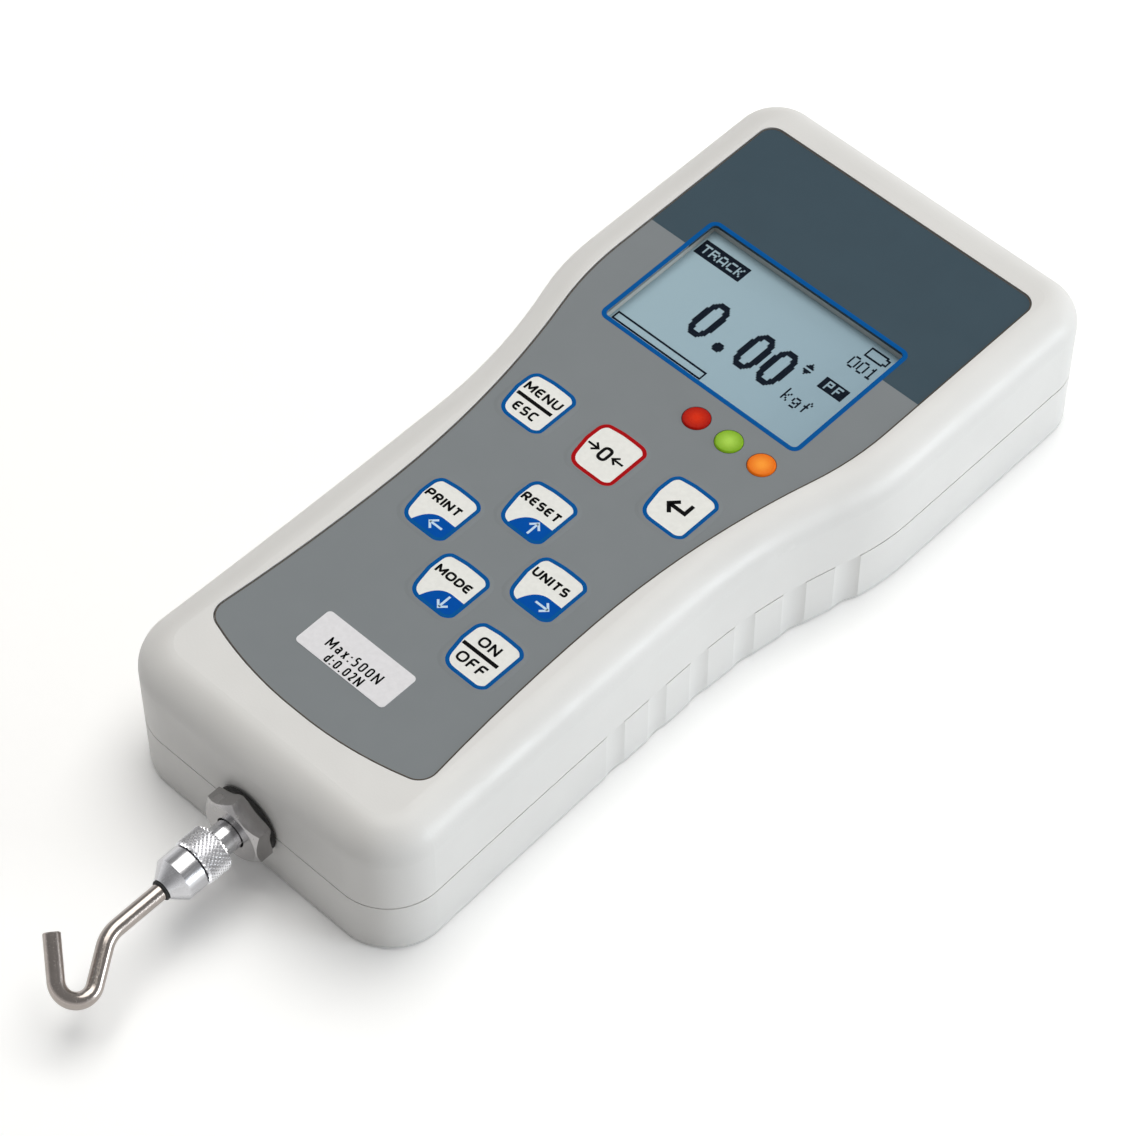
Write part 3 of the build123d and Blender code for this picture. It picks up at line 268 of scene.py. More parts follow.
class Finish:
    """A material under construction, in the part's own coordinates."""

    def __init__(self, name, base, roughness, metallic=0.0):
        self.material = bpy.data.materials.new(name)
        self.material.use_nodes = True
        self.tree = self.material.node_tree
        self.shader = self.tree.nodes["Principled BSDF"]
        self.shader.inputs["Base Color"].default_value = (*base[:3], 1.0)
        self.shader.inputs["Roughness"].default_value = roughness
        self.shader.inputs["Metallic"].default_value = metallic
        self.place = self.node("ShaderNodeTexCoord").outputs["Object"]

    def node(self, kind, **settings):
        """A new node with its settings and its sockets' values."""
        made = self.tree.nodes.new(kind)
        for key, value in settings.items():
            if key in made.inputs:
                made.inputs[key].default_value = value
            else:
                setattr(made, key, value)
        return made

    def join(self, source, target):
        """A link from one socket to another."""
        self.tree.links.new(source, target)

    def fixed(self, **values):
        """Shader inputs that are the same all over; a name's words are joined by underscores."""
        for name, value in values.items():
            self.shader.inputs[name.replace("_", " ")].default_value = value

    def stretched(self, scale):
        """The coordinates multiplied by a scale for each axis."""
        mapping = self.node("ShaderNodeMapping", Scale=scale)
        self.join(self.place, mapping.inputs["Vector"])
        return mapping.outputs["Vector"]

    def along(self, axis):
        """One of the three coordinates."""
        axes = self.node("ShaderNodeSeparateXYZ")
        self.join(self.place, axes.inputs["Vector"])
        return axes.outputs[axis]

    def length(self, source):
        """How long a vector is."""
        reach = self.node("ShaderNodeVectorMath", operation="LENGTH")
        self.join(source, reach.inputs[0])
        return reach.outputs["Value"]

    def noise(self, size, detail=3.0, stretch=(1, 1, 1)):
        """Noise whose features are about that size in metres."""
        made = self.node("ShaderNodeTexNoise", Scale=1.0 / size, Detail=detail)
        self.join(self.stretched(stretch), made.inputs["Vector"])
        return made.outputs["Fac"]

    def cells(self, size):
        """Rounded cells about that size in metres."""
        made = self.node("ShaderNodeTexVoronoi", Scale=1.0 / size, feature="SMOOTH_F1")
        self.join(self.place, made.inputs["Vector"])
        return made.outputs["Distance"]

    def spread(self, source, low, high, start=0.3, end=0.7):
        """The source's values from start to end, mapped to low and high."""
        made = self.node("ShaderNodeMapRange")
        made.inputs["From Min"].default_value = start
        made.inputs["From Max"].default_value = end
        made.inputs["To Min"].default_value = low
        made.inputs["To Max"].default_value = high
        self.join(source, made.inputs["Value"])
        return made.outputs["Result"]

    def blend(self, share, first, second):
        """Two colours mixed by a share; each is a colour or a socket."""
        made = self.node("ShaderNodeMix", data_type="RGBA")
        self.join(share, made.inputs["Factor"])
        for value, socket in ((first, made.inputs["A"]), (second, made.inputs["B"])):
            if isinstance(value, bpy.types.NodeSocket):
                self.join(value, socket)
            else:
                socket.default_value = (*value[:3], 1.0)
        return made.outputs["Result"]

    def colour(self, source):
        """Base colour that follows the source."""
        self.join(source, self.shader.inputs["Base Color"])

    def mottle(self, base, size, amount):
        """The base colour, a little lighter and darker from place to place."""
        darker = [channel * (1 - amount) for channel in base[:3]]
        lighter = [min(1.0, channel * (1 + amount)) for channel in base[:3]]
        return self.blend(self.spread(self.noise(size), 0, 1), darker, lighter)

    def gloss(self, source, low, high):
        """Roughness that follows the source."""
        self.join(self.spread(source, low, high), self.shader.inputs["Roughness"])

    def relief(self, source, depth, strength=1.0):
        """Bump of about that depth in metres, on top of any relief set before."""
        bump = self.node("ShaderNodeBump", Strength=strength, Distance=depth)
        self.join(source, bump.inputs["Height"])
        normal = self.shader.inputs["Normal"]
        if normal.is_linked:
            self.join(normal.links[0].from_socket, bump.inputs["Normal"])
        self.join(bump.outputs["Normal"], normal)

    def add_shader(self, first, second):
        """The light of two shaders together."""
        both = self.node("ShaderNodeAddShader")
        self.join(first, both.inputs[0])
        self.join(second, both.inputs[1])
        return both.outputs[0]


def moulded_plastic(name, base, grain, roughness=0.42):
    """Moulded shell: fine spark-eroded grain, faint mottling and handling marks."""
    finish = Finish(name, base, roughness)
    finish.colour(finish.mottle(base, size=18 * MM, amount=0.018))
    finish.gloss(finish.noise(6 * MM, detail=5), low=roughness - 0.06, high=roughness + 0.07)
    finish.relief(finish.cells(grain), depth=0.02 * MM, strength=0.35)
    finish.relief(finish.noise(9 * MM, detail=2), depth=0.05 * MM, strength=0.15)
    finish.fixed(Specular_IOR_Level=0.4)
    return finish.material


def printed_film(settings):
    """Front film: two printed fields under a fine velvet texture."""
    finish = Finish("front_film", settings.panel_colour, roughness=0.5)
    above = finish.node("ShaderNodeMath", operation="GREATER_THAN")
    finish.join(finish.along("Y"), above.inputs[0])
    above.inputs[1].default_value = settings.band_edge
    grey = finish.mottle(settings.panel_colour, size=7 * MM, amount=0.012)
    slate = finish.mottle(settings.band_colour, size=7 * MM, amount=0.02)
    finish.colour(finish.blend(above.outputs[0], grey, slate))
    finish.gloss(finish.noise(3 * MM, detail=4), low=0.44, high=0.56)
    finish.relief(finish.noise(settings.film_grain, detail=2), depth=0.006 * MM, strength=0.5)
    finish.fixed(Specular_IOR_Level=0.12)
    return finish.material


def printed_ink(name, base, roughness=0.45):
    """Screen-printed ink with a slightly uneven film."""
    finish = Finish(name, base, roughness)
    finish.colour(finish.mottle(base, size=0.8 * MM, amount=0.03))
    finish.gloss(finish.noise(0.5 * MM), low=roughness - 0.06, high=roughness + 0.06)
    finish.relief(finish.noise(0.15 * MM, detail=2), depth=0.004 * MM, strength=0.4)
    finish.fixed(Specular_IOR_Level=0.02)
    return finish.material


def plated_metal(name, base, roughness, lay=(1, 1, 1), marks=0.4 * MM):
    """Plated or polished metal with fine tool marks stretched along one axis."""
    finish = Finish(name, base, roughness, metallic=1.0)
    finish.colour(finish.mottle(base, size=2.5 * MM, amount=0.05))
    uneven = finish.noise(marks, detail=4, stretch=lay)
    finish.gloss(uneven, low=max(0.05, roughness - 0.06), high=roughness + 0.08)
    finish.relief(finish.noise(marks * 0.5, stretch=lay), depth=0.004 * MM, strength=0.35)
    return finish.material


def black_rubber(name, base):
    """Matt rubber with a dusty bloom."""
    finish = Finish(name, base, roughness=0.7)
    finish.colour(finish.mottle(base, size=1.2 * MM, amount=0.2))
    finish.gloss(finish.noise(0.6 * MM, detail=4), low=0.6, high=0.8)
    finish.relief(finish.noise(0.2 * MM), depth=0.01 * MM, strength=0.5)
    return finish.material


def tinted_lamp(name, rim, glow_core, middle, radius):
    """A tinted resin lamp: its colour is lighter and fuller in the middle, a painted glow over the die."""
    finish = Finish(name, rim, roughness=0.28)
    shifted = finish.node(
        "ShaderNodeMapping", vector_type="POINT", Location=(-middle[0], -middle[1], 0), Scale=(1, 1, 0)
    )
    finish.join(finish.place, shifted.inputs["Vector"])
    reach = finish.length(shifted.outputs["Vector"])
    share = finish.spread(reach, 1, 0, start=radius * 0.15, end=radius * 0.9)
    # Painted glow: the colour runs from the rim's towards the lighter one in the middle.
    finish.colour(finish.blend(share, rim, glow_core))
    finish.gloss(finish.noise(0.6 * MM), low=0.22, high=0.34)
    finish.relief(finish.noise(0.5 * MM, detail=2), depth=0.01 * MM, strength=0.3)
    finish.fixed(
        Subsurface_Weight=0.1, Subsurface_Radius=(1.0, 0.6, 0.4), Subsurface_Scale=1.0 * MM,
        Coat_Weight=0.05, Specular_IOR_Level=0.08,
    )
    return finish.material


def display_glass(base):
    """The lit display under its glass: an even pale field, a little deeper to one side."""
    finish = Finish("display_glass", base, roughness=0.32)
    across = finish.spread(finish.along("X"), 0, 1, start=-22 * MM, end=22 * MM)
    left = [channel * 1.04 for channel in base[:3]]
    right = [base[0] * 0.93, base[1] * 0.96, base[2] * 1.0]
    finish.colour(finish.blend(across, left, right))
    finish.gloss(finish.noise(5 * MM), low=0.28, high=0.36)
    finish.relief(finish.noise(0.3 * MM, detail=2), depth=0.002 * MM, strength=0.3)
    finish.fixed(Specular_IOR_Level=0.1)
    return finish.material


def clear_film():
    """The clear window of the front film."""
    finish = Finish("clear_film", (0.03, 0.035, 0.04), roughness=0.12)
    finish.gloss(finish.noise(8 * MM), low=0.08, high=0.16)
    finish.relief(finish.noise(6 * MM, detail=2), depth=0.01 * MM, strength=0.1)
    finish.fixed(Alpha=0.04)
    return finish.material


def circuit_board():
    """Solder mask with the faint pattern of tracks below it."""
    mask, track = srgb(24, 92, 58), srgb(40, 112, 72)
    finish = Finish("board_mask", mask, roughness=0.38)
    tracks = finish.node("ShaderNodeTexBrick", Scale=400.0)
    finish.join(finish.place, tracks.inputs["Vector"])
    finish.colour(finish.blend(finish.spread(tracks.outputs["Fac"], 0, 1), mask, track))
    finish.gloss(finish.noise(2 * MM), low=0.3, high=0.45)
    finish.relief(tracks.outputs["Fac"], depth=0.02 * MM, strength=0.4)
    return finish.material


def wrapped_cell():
    """A cell's printed sleeve: dark body with a lighter band at one end."""
    sleeve, pale = srgb(40, 60, 92), srgb(190, 190, 188)
    finish = Finish("cell_sleeve", sleeve, roughness=0.4)
    band = finish.spread(finish.along("Y"), 0, 1, start=50 * MM, end=50.2 * MM)
    finish.colour(finish.blend(band, finish.mottle(sleeve, size=4 * MM, amount=0.08), pale))
    finish.gloss(finish.noise(3 * MM), low=0.3, high=0.45)
    return finish.material


# --- Mesh making ----------------------------------------------------------------

def add_piece(name, mesh_maker, material, body):
    """A new object made by filling a bmesh, riding on a body."""
    mesh = bpy.data.meshes.new(name)
    made = bmesh.new()
    mesh_maker(made)
    bmesh.ops.recalc_face_normals(made, faces=made.faces)
    made.to_mesh(mesh)
    made.free()
    mesh.materials.append(material)
    piece = bpy.data.objects.new(name, mesh)
    bpy.context.scene.collection.objects.link(piece)
    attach(piece, body)
    return piece


def close_loops(made, loops):
    """Faces from each ring of points to the next, and from the last to the first."""
    count = len(loops[0])
    for first, second in zip(loops, loops[1:] + loops[:1]):
        for here in range(count):
            there = (here + 1) % count
            made.faces.new((first[here], first[there], second[there], second[here]))


def flat_loops(made, outlines):
    """Rings of points over outlines, each given with its height."""
    return [[made.verts.new((x, y, z)) for x, y in outline] for outline, z in outlines]


def prism(made, outline, low_z, high_z):
    """Adds a closed prism over an outline of (x, y) points."""
    low, high = flat_loops(made, ((outline, low_z), (outline, high_z)))
    made.faces.new(low[::-1])
    made.faces.new(high)
    for here in range(len(outline)):
        there = (here + 1) % len(outline)
        made.faces.new((low[here], low[there], high[there], high[here]))


def ring_prism(made, outer, inner, low_z, high_z):
    """Adds a closed band between two outlines with the same number of points."""
    outlines = ((outer, low_z), (outer, high_z), (inner, high_z), (inner, low_z))
    close_loops(made, flat_loops(made, outlines))


def inset_outline(outline, distance):
    """The outline moved inwards; its points run anticlockwise."""
    count = len(outline)
    moved = []
    for index, (x, y) in enumerate(outline):
        before = Vector(outline[index - 1])
        after = Vector(outline[(index + 1) % count])
        along = (after - before).normalized()
        moved.append((x - along.y * distance, y + along.x * distance))
    return moved


def rounded_rectangle(centre, width, height, radius):
    """The outline of a rectangle with round corners."""
    points = []
    for corner, (sign_x, sign_y) in enumerate(((1, 1), (-1, 1), (-1, -1), (1, -1))):
        middle_x = centre[0] + sign_x * (width / 2 - radius)
        middle_y = centre[1] + sign_y * (height / 2 - radius)
        for step in range(CORNER_STEPS + 1):
            turn = math.pi / 2 * (corner + step / CORNER_STEPS)
            points.append((middle_x + radius * math.cos(turn), middle_y + radius * math.sin(turn)))
    return points


def outer_loop(node):
    """The outer edge of a CAD node's top face, anticlockwise."""
    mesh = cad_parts[node].data
    top = max(vertex.co.z for vertex in mesh.vertices) - TOP_SLACK
    sides = set()
    for face in mesh.polygons:
        corners = [mesh.vertices[index].co for index in face.vertices]
        if min(corner.z for corner in corners) > top:
            points = [(round(corner.x, PLACES), round(corner.y, PLACES)) for corner in corners]
            sides.update(zip(points, points[1:] + points[:1]))
    follows = {start: end for start, end in sides if (end, start) not in sides}
    loop = [max(follows)]
    while follows[loop[-1]] != loop[0]:
        loop.append(follows[loop[-1]])
    return loop


def top_outline(node):
    """The outline of a convex CAD node's top face, anticlockwise."""
    low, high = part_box(node)
    centre = (low + high) / 2
    tops = {
        (round(vertex.co.x, PLACES), round(vertex.co.y, PLACES))
        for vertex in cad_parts[node].data.vertices
        if vertex.co.z > high.z - TOP_SLACK
    }
    return sorted(tops, key=lambda point: math.atan2(point[1] - centre.y, point[0] - centre.x))


def rounded_path(points, reaches, closed=False):
    """A path with its corners rounded; reaches is one length, or one for each corner."""
    count = len(points)
    reaches = reaches if isinstance(reaches, (list, tuple)) else [reaches] * count
    out = []
    for index, (point, reach) in enumerate(zip(points, reaches)):
        if not closed and index in (0, count - 1):
            out.append(point)
            continue
        here = Vector(point)
        back = Vector(points[index - 1]) - here
        ahead = Vector(points[(index + 1) % count]) - here
        reach = min(reach, back.length / 2, ahead.length / 2)
        start = here + back.normalized() * reach
        end = here + ahead.normalized() * reach
        for step in range(CORNER_STEPS + 1):
            share = step / CORNER_STEPS
            bent = start.lerp(here, share).lerp(here.lerp(end, share), share)
            out.append((bent.x, bent.y))
    return [
        point for index, point in enumerate(out)
        if (Vector(point) - Vector(out[index - 1])).length > SAME_POINT
    ]


def spokes(outline, centre):
    """The outline's points at even turns round its centre."""
    points = []
    for index in range(SPOKES):
        turn = 2 * math.pi * index / SPOKES
        ray = Vector((math.cos(turn), math.sin(turn)))
        for here, there in zip(outline, outline[1:] + outline[:1]):
            start, along = Vector(here) - Vector(centre), Vector(there) - Vector(here)
            cross = ray.x * along.y - ray.y * along.x
            if abs(cross) < PARALLEL:
                continue
            share = (start.x * ray.y - start.y * ray.x) / cross
            reach = (start.x * along.y - start.y * along.x) / cross
            if -SHARE_SLACK <= share <= 1 + SHARE_SLACK and reach > 0:
                points.append((centre[0] + ray.x * reach, centre[1] + ray.y * reach))
                break
    return points


def stroke(made, path, width, low_z, high_z, closed=False):
    """Adds a closed solid that follows a path with a constant width."""
    count = len(path)
    sides = ([], [])
    for index, point in enumerate(path):
        here = Vector(point)
        before = Vector(path[index - 1]) if closed or index else None
        after = Vector(path[(index + 1) % count]) if closed or index < count - 1 else None
        incoming = (here - before).normalized() if before is not None else (after - here).normalized()
        outgoing = (after - here).normalized() if after is not None else incoming
        along = (incoming + outgoing).normalized()
        stretch = 1 / max(MITRE_LIMIT, along.dot(outgoing))
        across = Vector((-along.y, along.x)) * (width / 2 * stretch)
        sides[0].append(here + across)
        sides[1].append(here - across)
    left_low, left_high, right_low, right_high = flat_loops(
        made, [(side, z) for side in sides for z in (low_z, high_z)]
    )
    walls = ((left_low, left_high), (left_high, right_high), (right_high, right_low), (right_low, left_low))
    for here in range(count if closed else count - 1):
        there = (here + 1) % count
        for first, second in walls:
            made.faces.new((first[here], first[there], second[there], second[here]))
    if not closed:
        for end in (0, -1):
            made.faces.new((left_low[end], left_high[end], right_high[end], right_low[end]))


# --- Lettering ------------------------------------------------------------------

# Each letter is its width and its strokes, on a capital height of 1;
# a stroke is its points, the radius of its corners and whether it is closed.
LETTERS = {
    "0": (0.62, [(((0, 0.1), (0, 0.9), (0.31, 1), (0.62, 0.9), (0.62, 0.1), (0.31, 0)), 0.3, True)]),
    "C": (0.74, [(((0.74, 1), (0, 1), (0, 0), (0.74, 0)), 0.36, False)]),
    "D": (0.84, [(((0, 0), (0.5, 0), (0.84, 0.2), (0.84, 0.8), (0.5, 1), (0, 1)), 0.2, True)]),
    "E": (0.74, [
        (((0.74, 1), (0, 1), (0, 0), (0.74, 0)), 0.36, False),
        (((0, 0.52), (0.68, 0.52)), 0, False),
    ]),
    "F": (0.7, [(((0.7, 1), (0, 1), (0, -0.12)), 0.24, False), (((0, 0.5), (0.6, 0.5)), 0, False)]),
    "I": (0.0, [(((0, -0.12), (0, 1.12)), 0, False)]),
    "M": (1.06, [(((0, -0.12), (0, 1), (0.53, 0.2), (1.06, 1), (1.06, -0.12)), 0.03, False)]),
    "N": (0.84, [(((0, -0.12), (0, 1), (0.84, 0), (0.84, 1.12)), 0.03, False)]),
    "O": (0.96, [(((0, 0), (0, 1), (0.96, 1), (0.96, 0)), 0.44, True)]),
    "P": (0.74, [(((0, -0.12), (0, 1), (0.74, 1), (0.74, 0.4), (0, 0.4)), 0.28, False)]),
    "R": (0.78, [
        (((0, -0.12), (0, 1), (0.74, 1), (0.74, 0.42), (0, 0.42)), 0.28, False),
        (((0.36, 0.42), (0.8, -0.1)), 0, False),
    ]),
    "S": (0.74, [(((0.7, 1), (0, 1), (0, 0.52), (0.74, 0.52), (0.74, 0), (0.02, 0)), 0.24, False)]),
    "T": (0.8, [(((0, 1), (0.8, 1)), 0, False), (((0.4, 1), (0.4, -0.12)), 0, False)]),
    "U": (0.84, [(((0, 1.12), (0, 0), (0.84, 0), (0.84, 1.12)), 0.4, False)]),
    "a": (0.5, [
        (((0.04, 0.68), (0.5, 0.68), (0.5, -0.1)), 0.2, False),
        (((0.5, 0.38), (0, 0.38), (0, 0), (0.5, 0)), 0.18, True),
    ]),
    "d": (0.54, [
        (((0.54, 0.66), (0, 0.66), (0, 0), (0.54, 0)), 0.26, True), (((0.54, 1.1), (0.54, -0.1)), 0, False),
    ]),
    "x": (0.52, [(((0, 0.74), (0.52, -0.08)), 0, False), (((0, -0.08), (0.52, 0.74)), 0, False)]),
    "2": (0.56, [(((0, 0.84), (0.1, 1), (0.54, 1), (0.54, 0.55), (0, 0), (0.6, 0)), 0.24, False)]),
    "5": (0.56, [(((0.5, 1), (0.06, 1), (0.03, 0.58), (0.56, 0.6), (0.56, 0), (0, 0)), 0.2, False)]),
    ":": (0.0, [(((0, -0.08), (0, 0.08)), 0, False), (((0, 0.52), (0, 0.68)), 0, False)]),
    ".": (0.0, [(((0, -0.08), (0, 0.08)), 0, False)]),
}
LETTER_GAP = 0.48               # between two letters' strokes, as a share of the height


def write_word(made, word, centre, width, height, stroke_width, z):
    """Adds a word as closed solids that fill a width and height about a point of a face at height z."""
    size = height - stroke_width
    widths = [LETTERS[letter][0] for letter in word]
    spare = width - stroke_width - LETTER_GAP * size * (len(word) - 1)
    stretch = spare / (sum(widths) * size)
    x = centre[0] - (width - stroke_width) / 2
    y = centre[1] - size / 2
    for letter, share in zip(word, widths):
        for points, radius, closed in LETTERS[letter][1]:
            path = [(x + px * stretch * size, y + py * size) for px, py in points]
            path = rounded_path(path, radius * size, closed) if radius else path
            stroke(made, path, stroke_width, z - INK_SINK, z + INK_RISE, closed)
        x += (share * stretch + LETTER_GAP) * size


def write_lines(made, lines, middle, stroke_width, z):
    """Adds several words, each placed from one middle in millimetres."""
    for word, (across, up), width, height in lines:
        centre = (middle[0] + across * MM, middle[1] + up * MM)
        write_word(made, word, centre, width * MM, height * MM, stroke_width, z)


def node_centre(node):
    """The middle of a CAD node, seen from above."""
    low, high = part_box(node)
    return ((low.x + high.x) / 2, (low.y + high.y) / 2)


def on_key(node, points):
    """Points given in millimetres from a key's middle, in the part's own place."""
    x, y = node_centre(node)
    return [(x + across * MM, y + up * MM) for across, up in points]


def key_outline(node):
    """The printed outline of a key, kept just within the key's own edge."""
    corners, reaches = zip(*KEY_CORNERS)
    centre = Vector(node_centre(node))
    drawn = spokes(rounded_path(on_key(node, corners), [reach * MM for reach in reaches], True), centre)
    limit = spokes(inset_outline(top_outline(node), KEY_MARGIN), centre)
    return [min(pair, key=lambda point: (Vector(point) - centre).length) for pair in zip(drawn, limit)]


# --- Display dots ---------------------------------------------------------------

# The display's small characters, row by row from the top; # is a dark dot.
DOT_LETTERS = {
    "T": "##### ..#.. ..#.. ..#.. ..#..",
    "R": "####. #...# ####. #..#. #...#",
    "A": ".###. #...# #...# ##### #...#",
    "C": ".#### #.... #.... #.... .####",
    "K": "#..#. #.#.. ##... #.#.. #..#.",
    "P": "####. #..#. ####. #.... #....",
    "F": "####. #.... ###.. #.... #....",
    "0": ".###. #...# #...# #...# #...# #...# .###.",
    "1": "..#.. .##.. ..#.. ..#.. ..#.. ..#.. .###.",
    "k": "#.... #.... #..#. #.#.. ##... #.#.. #..#.",
    "g": "..... ..... .###. #...# #..## .##.# ....# .###.",
    "f": "...#. ..#.# ..#.. .###. ..#.. ..#.. ..#..",
}
LETTER_PITCH = 6                # dots from one small character to the next
DOT_ORIGIN = (-21.93 * MM, 50.32 * MM)      # the upper left corner of the field of dots
DOT_SHARE = 0.995               # how much of its cell a dot fills

# The display's large zeros, in dots: the first one's column and row, the pitch and the height of each.
FIRST_ZERO, ZERO_ROW, ZERO_PITCH, ZERO_HEIGHT = 32, 25, 16, 22
ZERO_PLACES = (0, 2, 3)         # the second place holds the point
ZERO_HALF = 7                   # half a zero's width
# From either end inwards, half the width of each row and of its hollow; the last pair holds from there on.
ZERO_ROWS = [(3, 0), (4, 0), (5, 0), (6, 2), (6, 2), (6, 3), (7, 3)]
TRIANGLE_ROWS = 3               # height of the small triangles, in dots


def small_word(word, column, row):
    """The dots of a word in small characters."""
    return {
        (column + index * LETTER_PITCH + across, row + down)
        for index, letter in enumerate(word)
        for down, line in enumerate(DOT_LETTERS[letter].split())
        for across, mark in enumerate(line)
        if mark == "#"
    }


def field(column, row, width, height):
    """A full rectangle of dots."""
    return {(column + across, row + down) for across in range(width) for down in range(height)}


def framed(column, row, width, height):
    """A rectangle one dot thick."""
    return field(column, row, width, height) - field(column + 1, row + 1, width - 2, height - 2)


def big_zero(column, row):
    """A large zero: a tall ring whose ends step in dot by dot."""
    dots = set()
    for down in range(ZERO_HEIGHT):
        end = min(down, ZERO_HEIGHT - 1 - down)
        outer, hollow = ZERO_ROWS[min(end, len(ZERO_ROWS) - 1)]
        for across in range(-outer, outer):
            if not -hollow <= across < hollow:
                dots.add((column + ZERO_HALF + across, row + down))
    return dots


def triangle(column, row, downwards):
    """A small triangle, pointing up or down."""
    dots = set()
    for step in range(TRIANGLE_ROWS):
        reach = TRIANGLE_ROWS - 1 - step if downwards else step
        dots |= field(column - reach, row + step, width=2 * reach + 1, height=1)
    return dots


def without_corners(column, row, width, height):
    """A full rectangle of dots less the one at each corner."""
    corners = {(x, y) for x in (column, column + width - 1) for y in (row, row + height - 1)}
    return field(column, row, width, height) - corners


def battery_mark(column, row):
    """The outline of a cell with its cap at the right."""
    joint = field(column + 11, row + 2, width=1, height=2)
    return (framed(column, row, width=12, height=6) | framed(column + 11, row + 1, width=3, height=4)) - joint


def shown_dots():
    """Everything that the display shows."""
    dots = field(column=0, row=3, width=32, height=9) - small_word("TRACK", column=2, row=5)
    dots |= field(column=110, row=25, width=16, height=7) - small_word("PF", column=113, row=26)
    dots |= framed(column=0, row=58, width=63, height=5)
    for place in ZERO_PLACES:
        dots |= big_zero(FIRST_ZERO + place * ZERO_PITCH, ZERO_ROW)
    dots |= without_corners(column=52, row=42, width=6, height=5)
    dots |= triangle(column=99, row=24, downwards=False) | triangle(column=99, row=28, downwards=True)
    dots |= small_word("kgf", column=101, row=40) | small_word("001", column=111, row=8)
    return dots | battery_mark(column=114, row=0)


def runs(dots):
    """The dots as rows of neighbours: (column, row, length)."""
    found = []
    for column, row in sorted(dots, key=lambda dot: (dot[1], dot[0])):
        if found and found[-1][1] == row and found[-1][0] + found[-1][2] == column:
            found[-1][2] += 1
        else:
            found.append([column, row, 1])
    return found


# --- Operators ------------------------------------------------------------------

# The finishes that several operators use, by name.
MATERIALS = {}


def dress(nodes, material):
    """Gives CAD nodes one finish."""
    for node in nodes:
        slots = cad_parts[node].data.materials
        slots.clear()
        slots.append(material)


class GAUGE_OT_housing(bpy.types.Operator):
    """Finishes the two moulded halves and the printed front film"""
    bl_idname = "gauge.housing"
    bl_label = "Housing and film"

    def execute(self, context):
        settings = context.scene.gauge_housing
        shell = moulded_plastic("shell_plastic", settings.shell_colour, settings.shell_grain)
        dress(["upper_housing", "lower_housing"], shell)
        MATERIALS["film"] = printed_film(settings)
        dress(["faceplate"], MATERIALS["film"])
        dress(["switch_membrane"], printed_ink("spacer_sheet", srgb(120, 108, 96), roughness=0.6))
        dress(["display_window"], clear_film())
        return {"FINISHED"}


class GAUGE_OT_fittings(bpy.types.Operator):
    """Finishes the measuring line's metal and rubber"""
    bl_idname = "gauge.fittings"
    bl_label = "Metal fittings"

    def execute(self, context):
        settings = context.scene.gauge_metal
        self.nut()
        turned = plated_metal("coupling_nickel", settings.nickel, roughness=0.22, lay=(1, 0.1, 1))
        dress(["hook_coupling", "measuring_shaft"], turned)
        dress(["hook"], plated_metal("hook_steel", settings.steel, roughness=0.2, marks=0.3 * MM))
        dress(["dust_washer", "tip_ring"], black_rubber("washer_rubber", srgb(22, 22, 22)))
        zinc = plated_metal("screw_zinc", srgb(150, 150, 152), roughness=0.3)
        dress(["housing_screws", "board_screws", "port_jackscrews", "cell_bolt"], zinc)
        milled = plated_metal("milled_aluminium", srgb(190, 192, 194), roughness=0.34, lay=(1, 0.15, 1))
        dress(["load_cell", "chassis"], milled)
        return {"FINISHED"}

    def nut(self):
        """The hexagon on the shaft: six flats, front corners turned to a cone, a bore round the shaft."""
        low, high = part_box("hex_nut")
        axis_z = (high.z + low.z) / 2
        flat = NUT_FLATS / 2
        front, back = low.y - NUT_EXTRA, high.y

        def hexagon(angle):
            """How far the hexagon's edge is from the axis."""
            return flat / math.cos((angle + math.pi / 6) % (math.pi / 3) - math.pi / 6)

        def ring(made, radius_at, y_at):
            """A ring of points, whose radius and y follow the hexagon's edge."""
            points = []
            for step in range(NUT_STEPS):
                angle = 2 * math.pi * step / NUT_STEPS
                edge = hexagon(angle)
                radius = radius_at(edge)
                place = (radius * math.cos(angle), y_at(edge), axis_z + radius * math.sin(angle))
                points.append(made.verts.new(place))
            return points

        def fill(made):
            close_loops(made, [
                ring(made, lambda edge: edge, lambda edge: back),
                ring(made, lambda edge: edge, lambda edge: front + (edge - flat * NUT_FACE) * NUT_CHAMFER),
                ring(made, lambda edge: flat * NUT_FACE, lambda edge: front),
                ring(made, lambda edge: NUT_BORE, lambda edge: front),
                ring(made, lambda edge: NUT_BORE, lambda edge: back),
            ])

        metal = plated_metal("nut_nickel", srgb(168, 166, 166), roughness=0.22, marks=2.5 * MM)
        piece = add_piece("hex_nut_turned", fill, metal, "measuring_line")
        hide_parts("hex_nut")


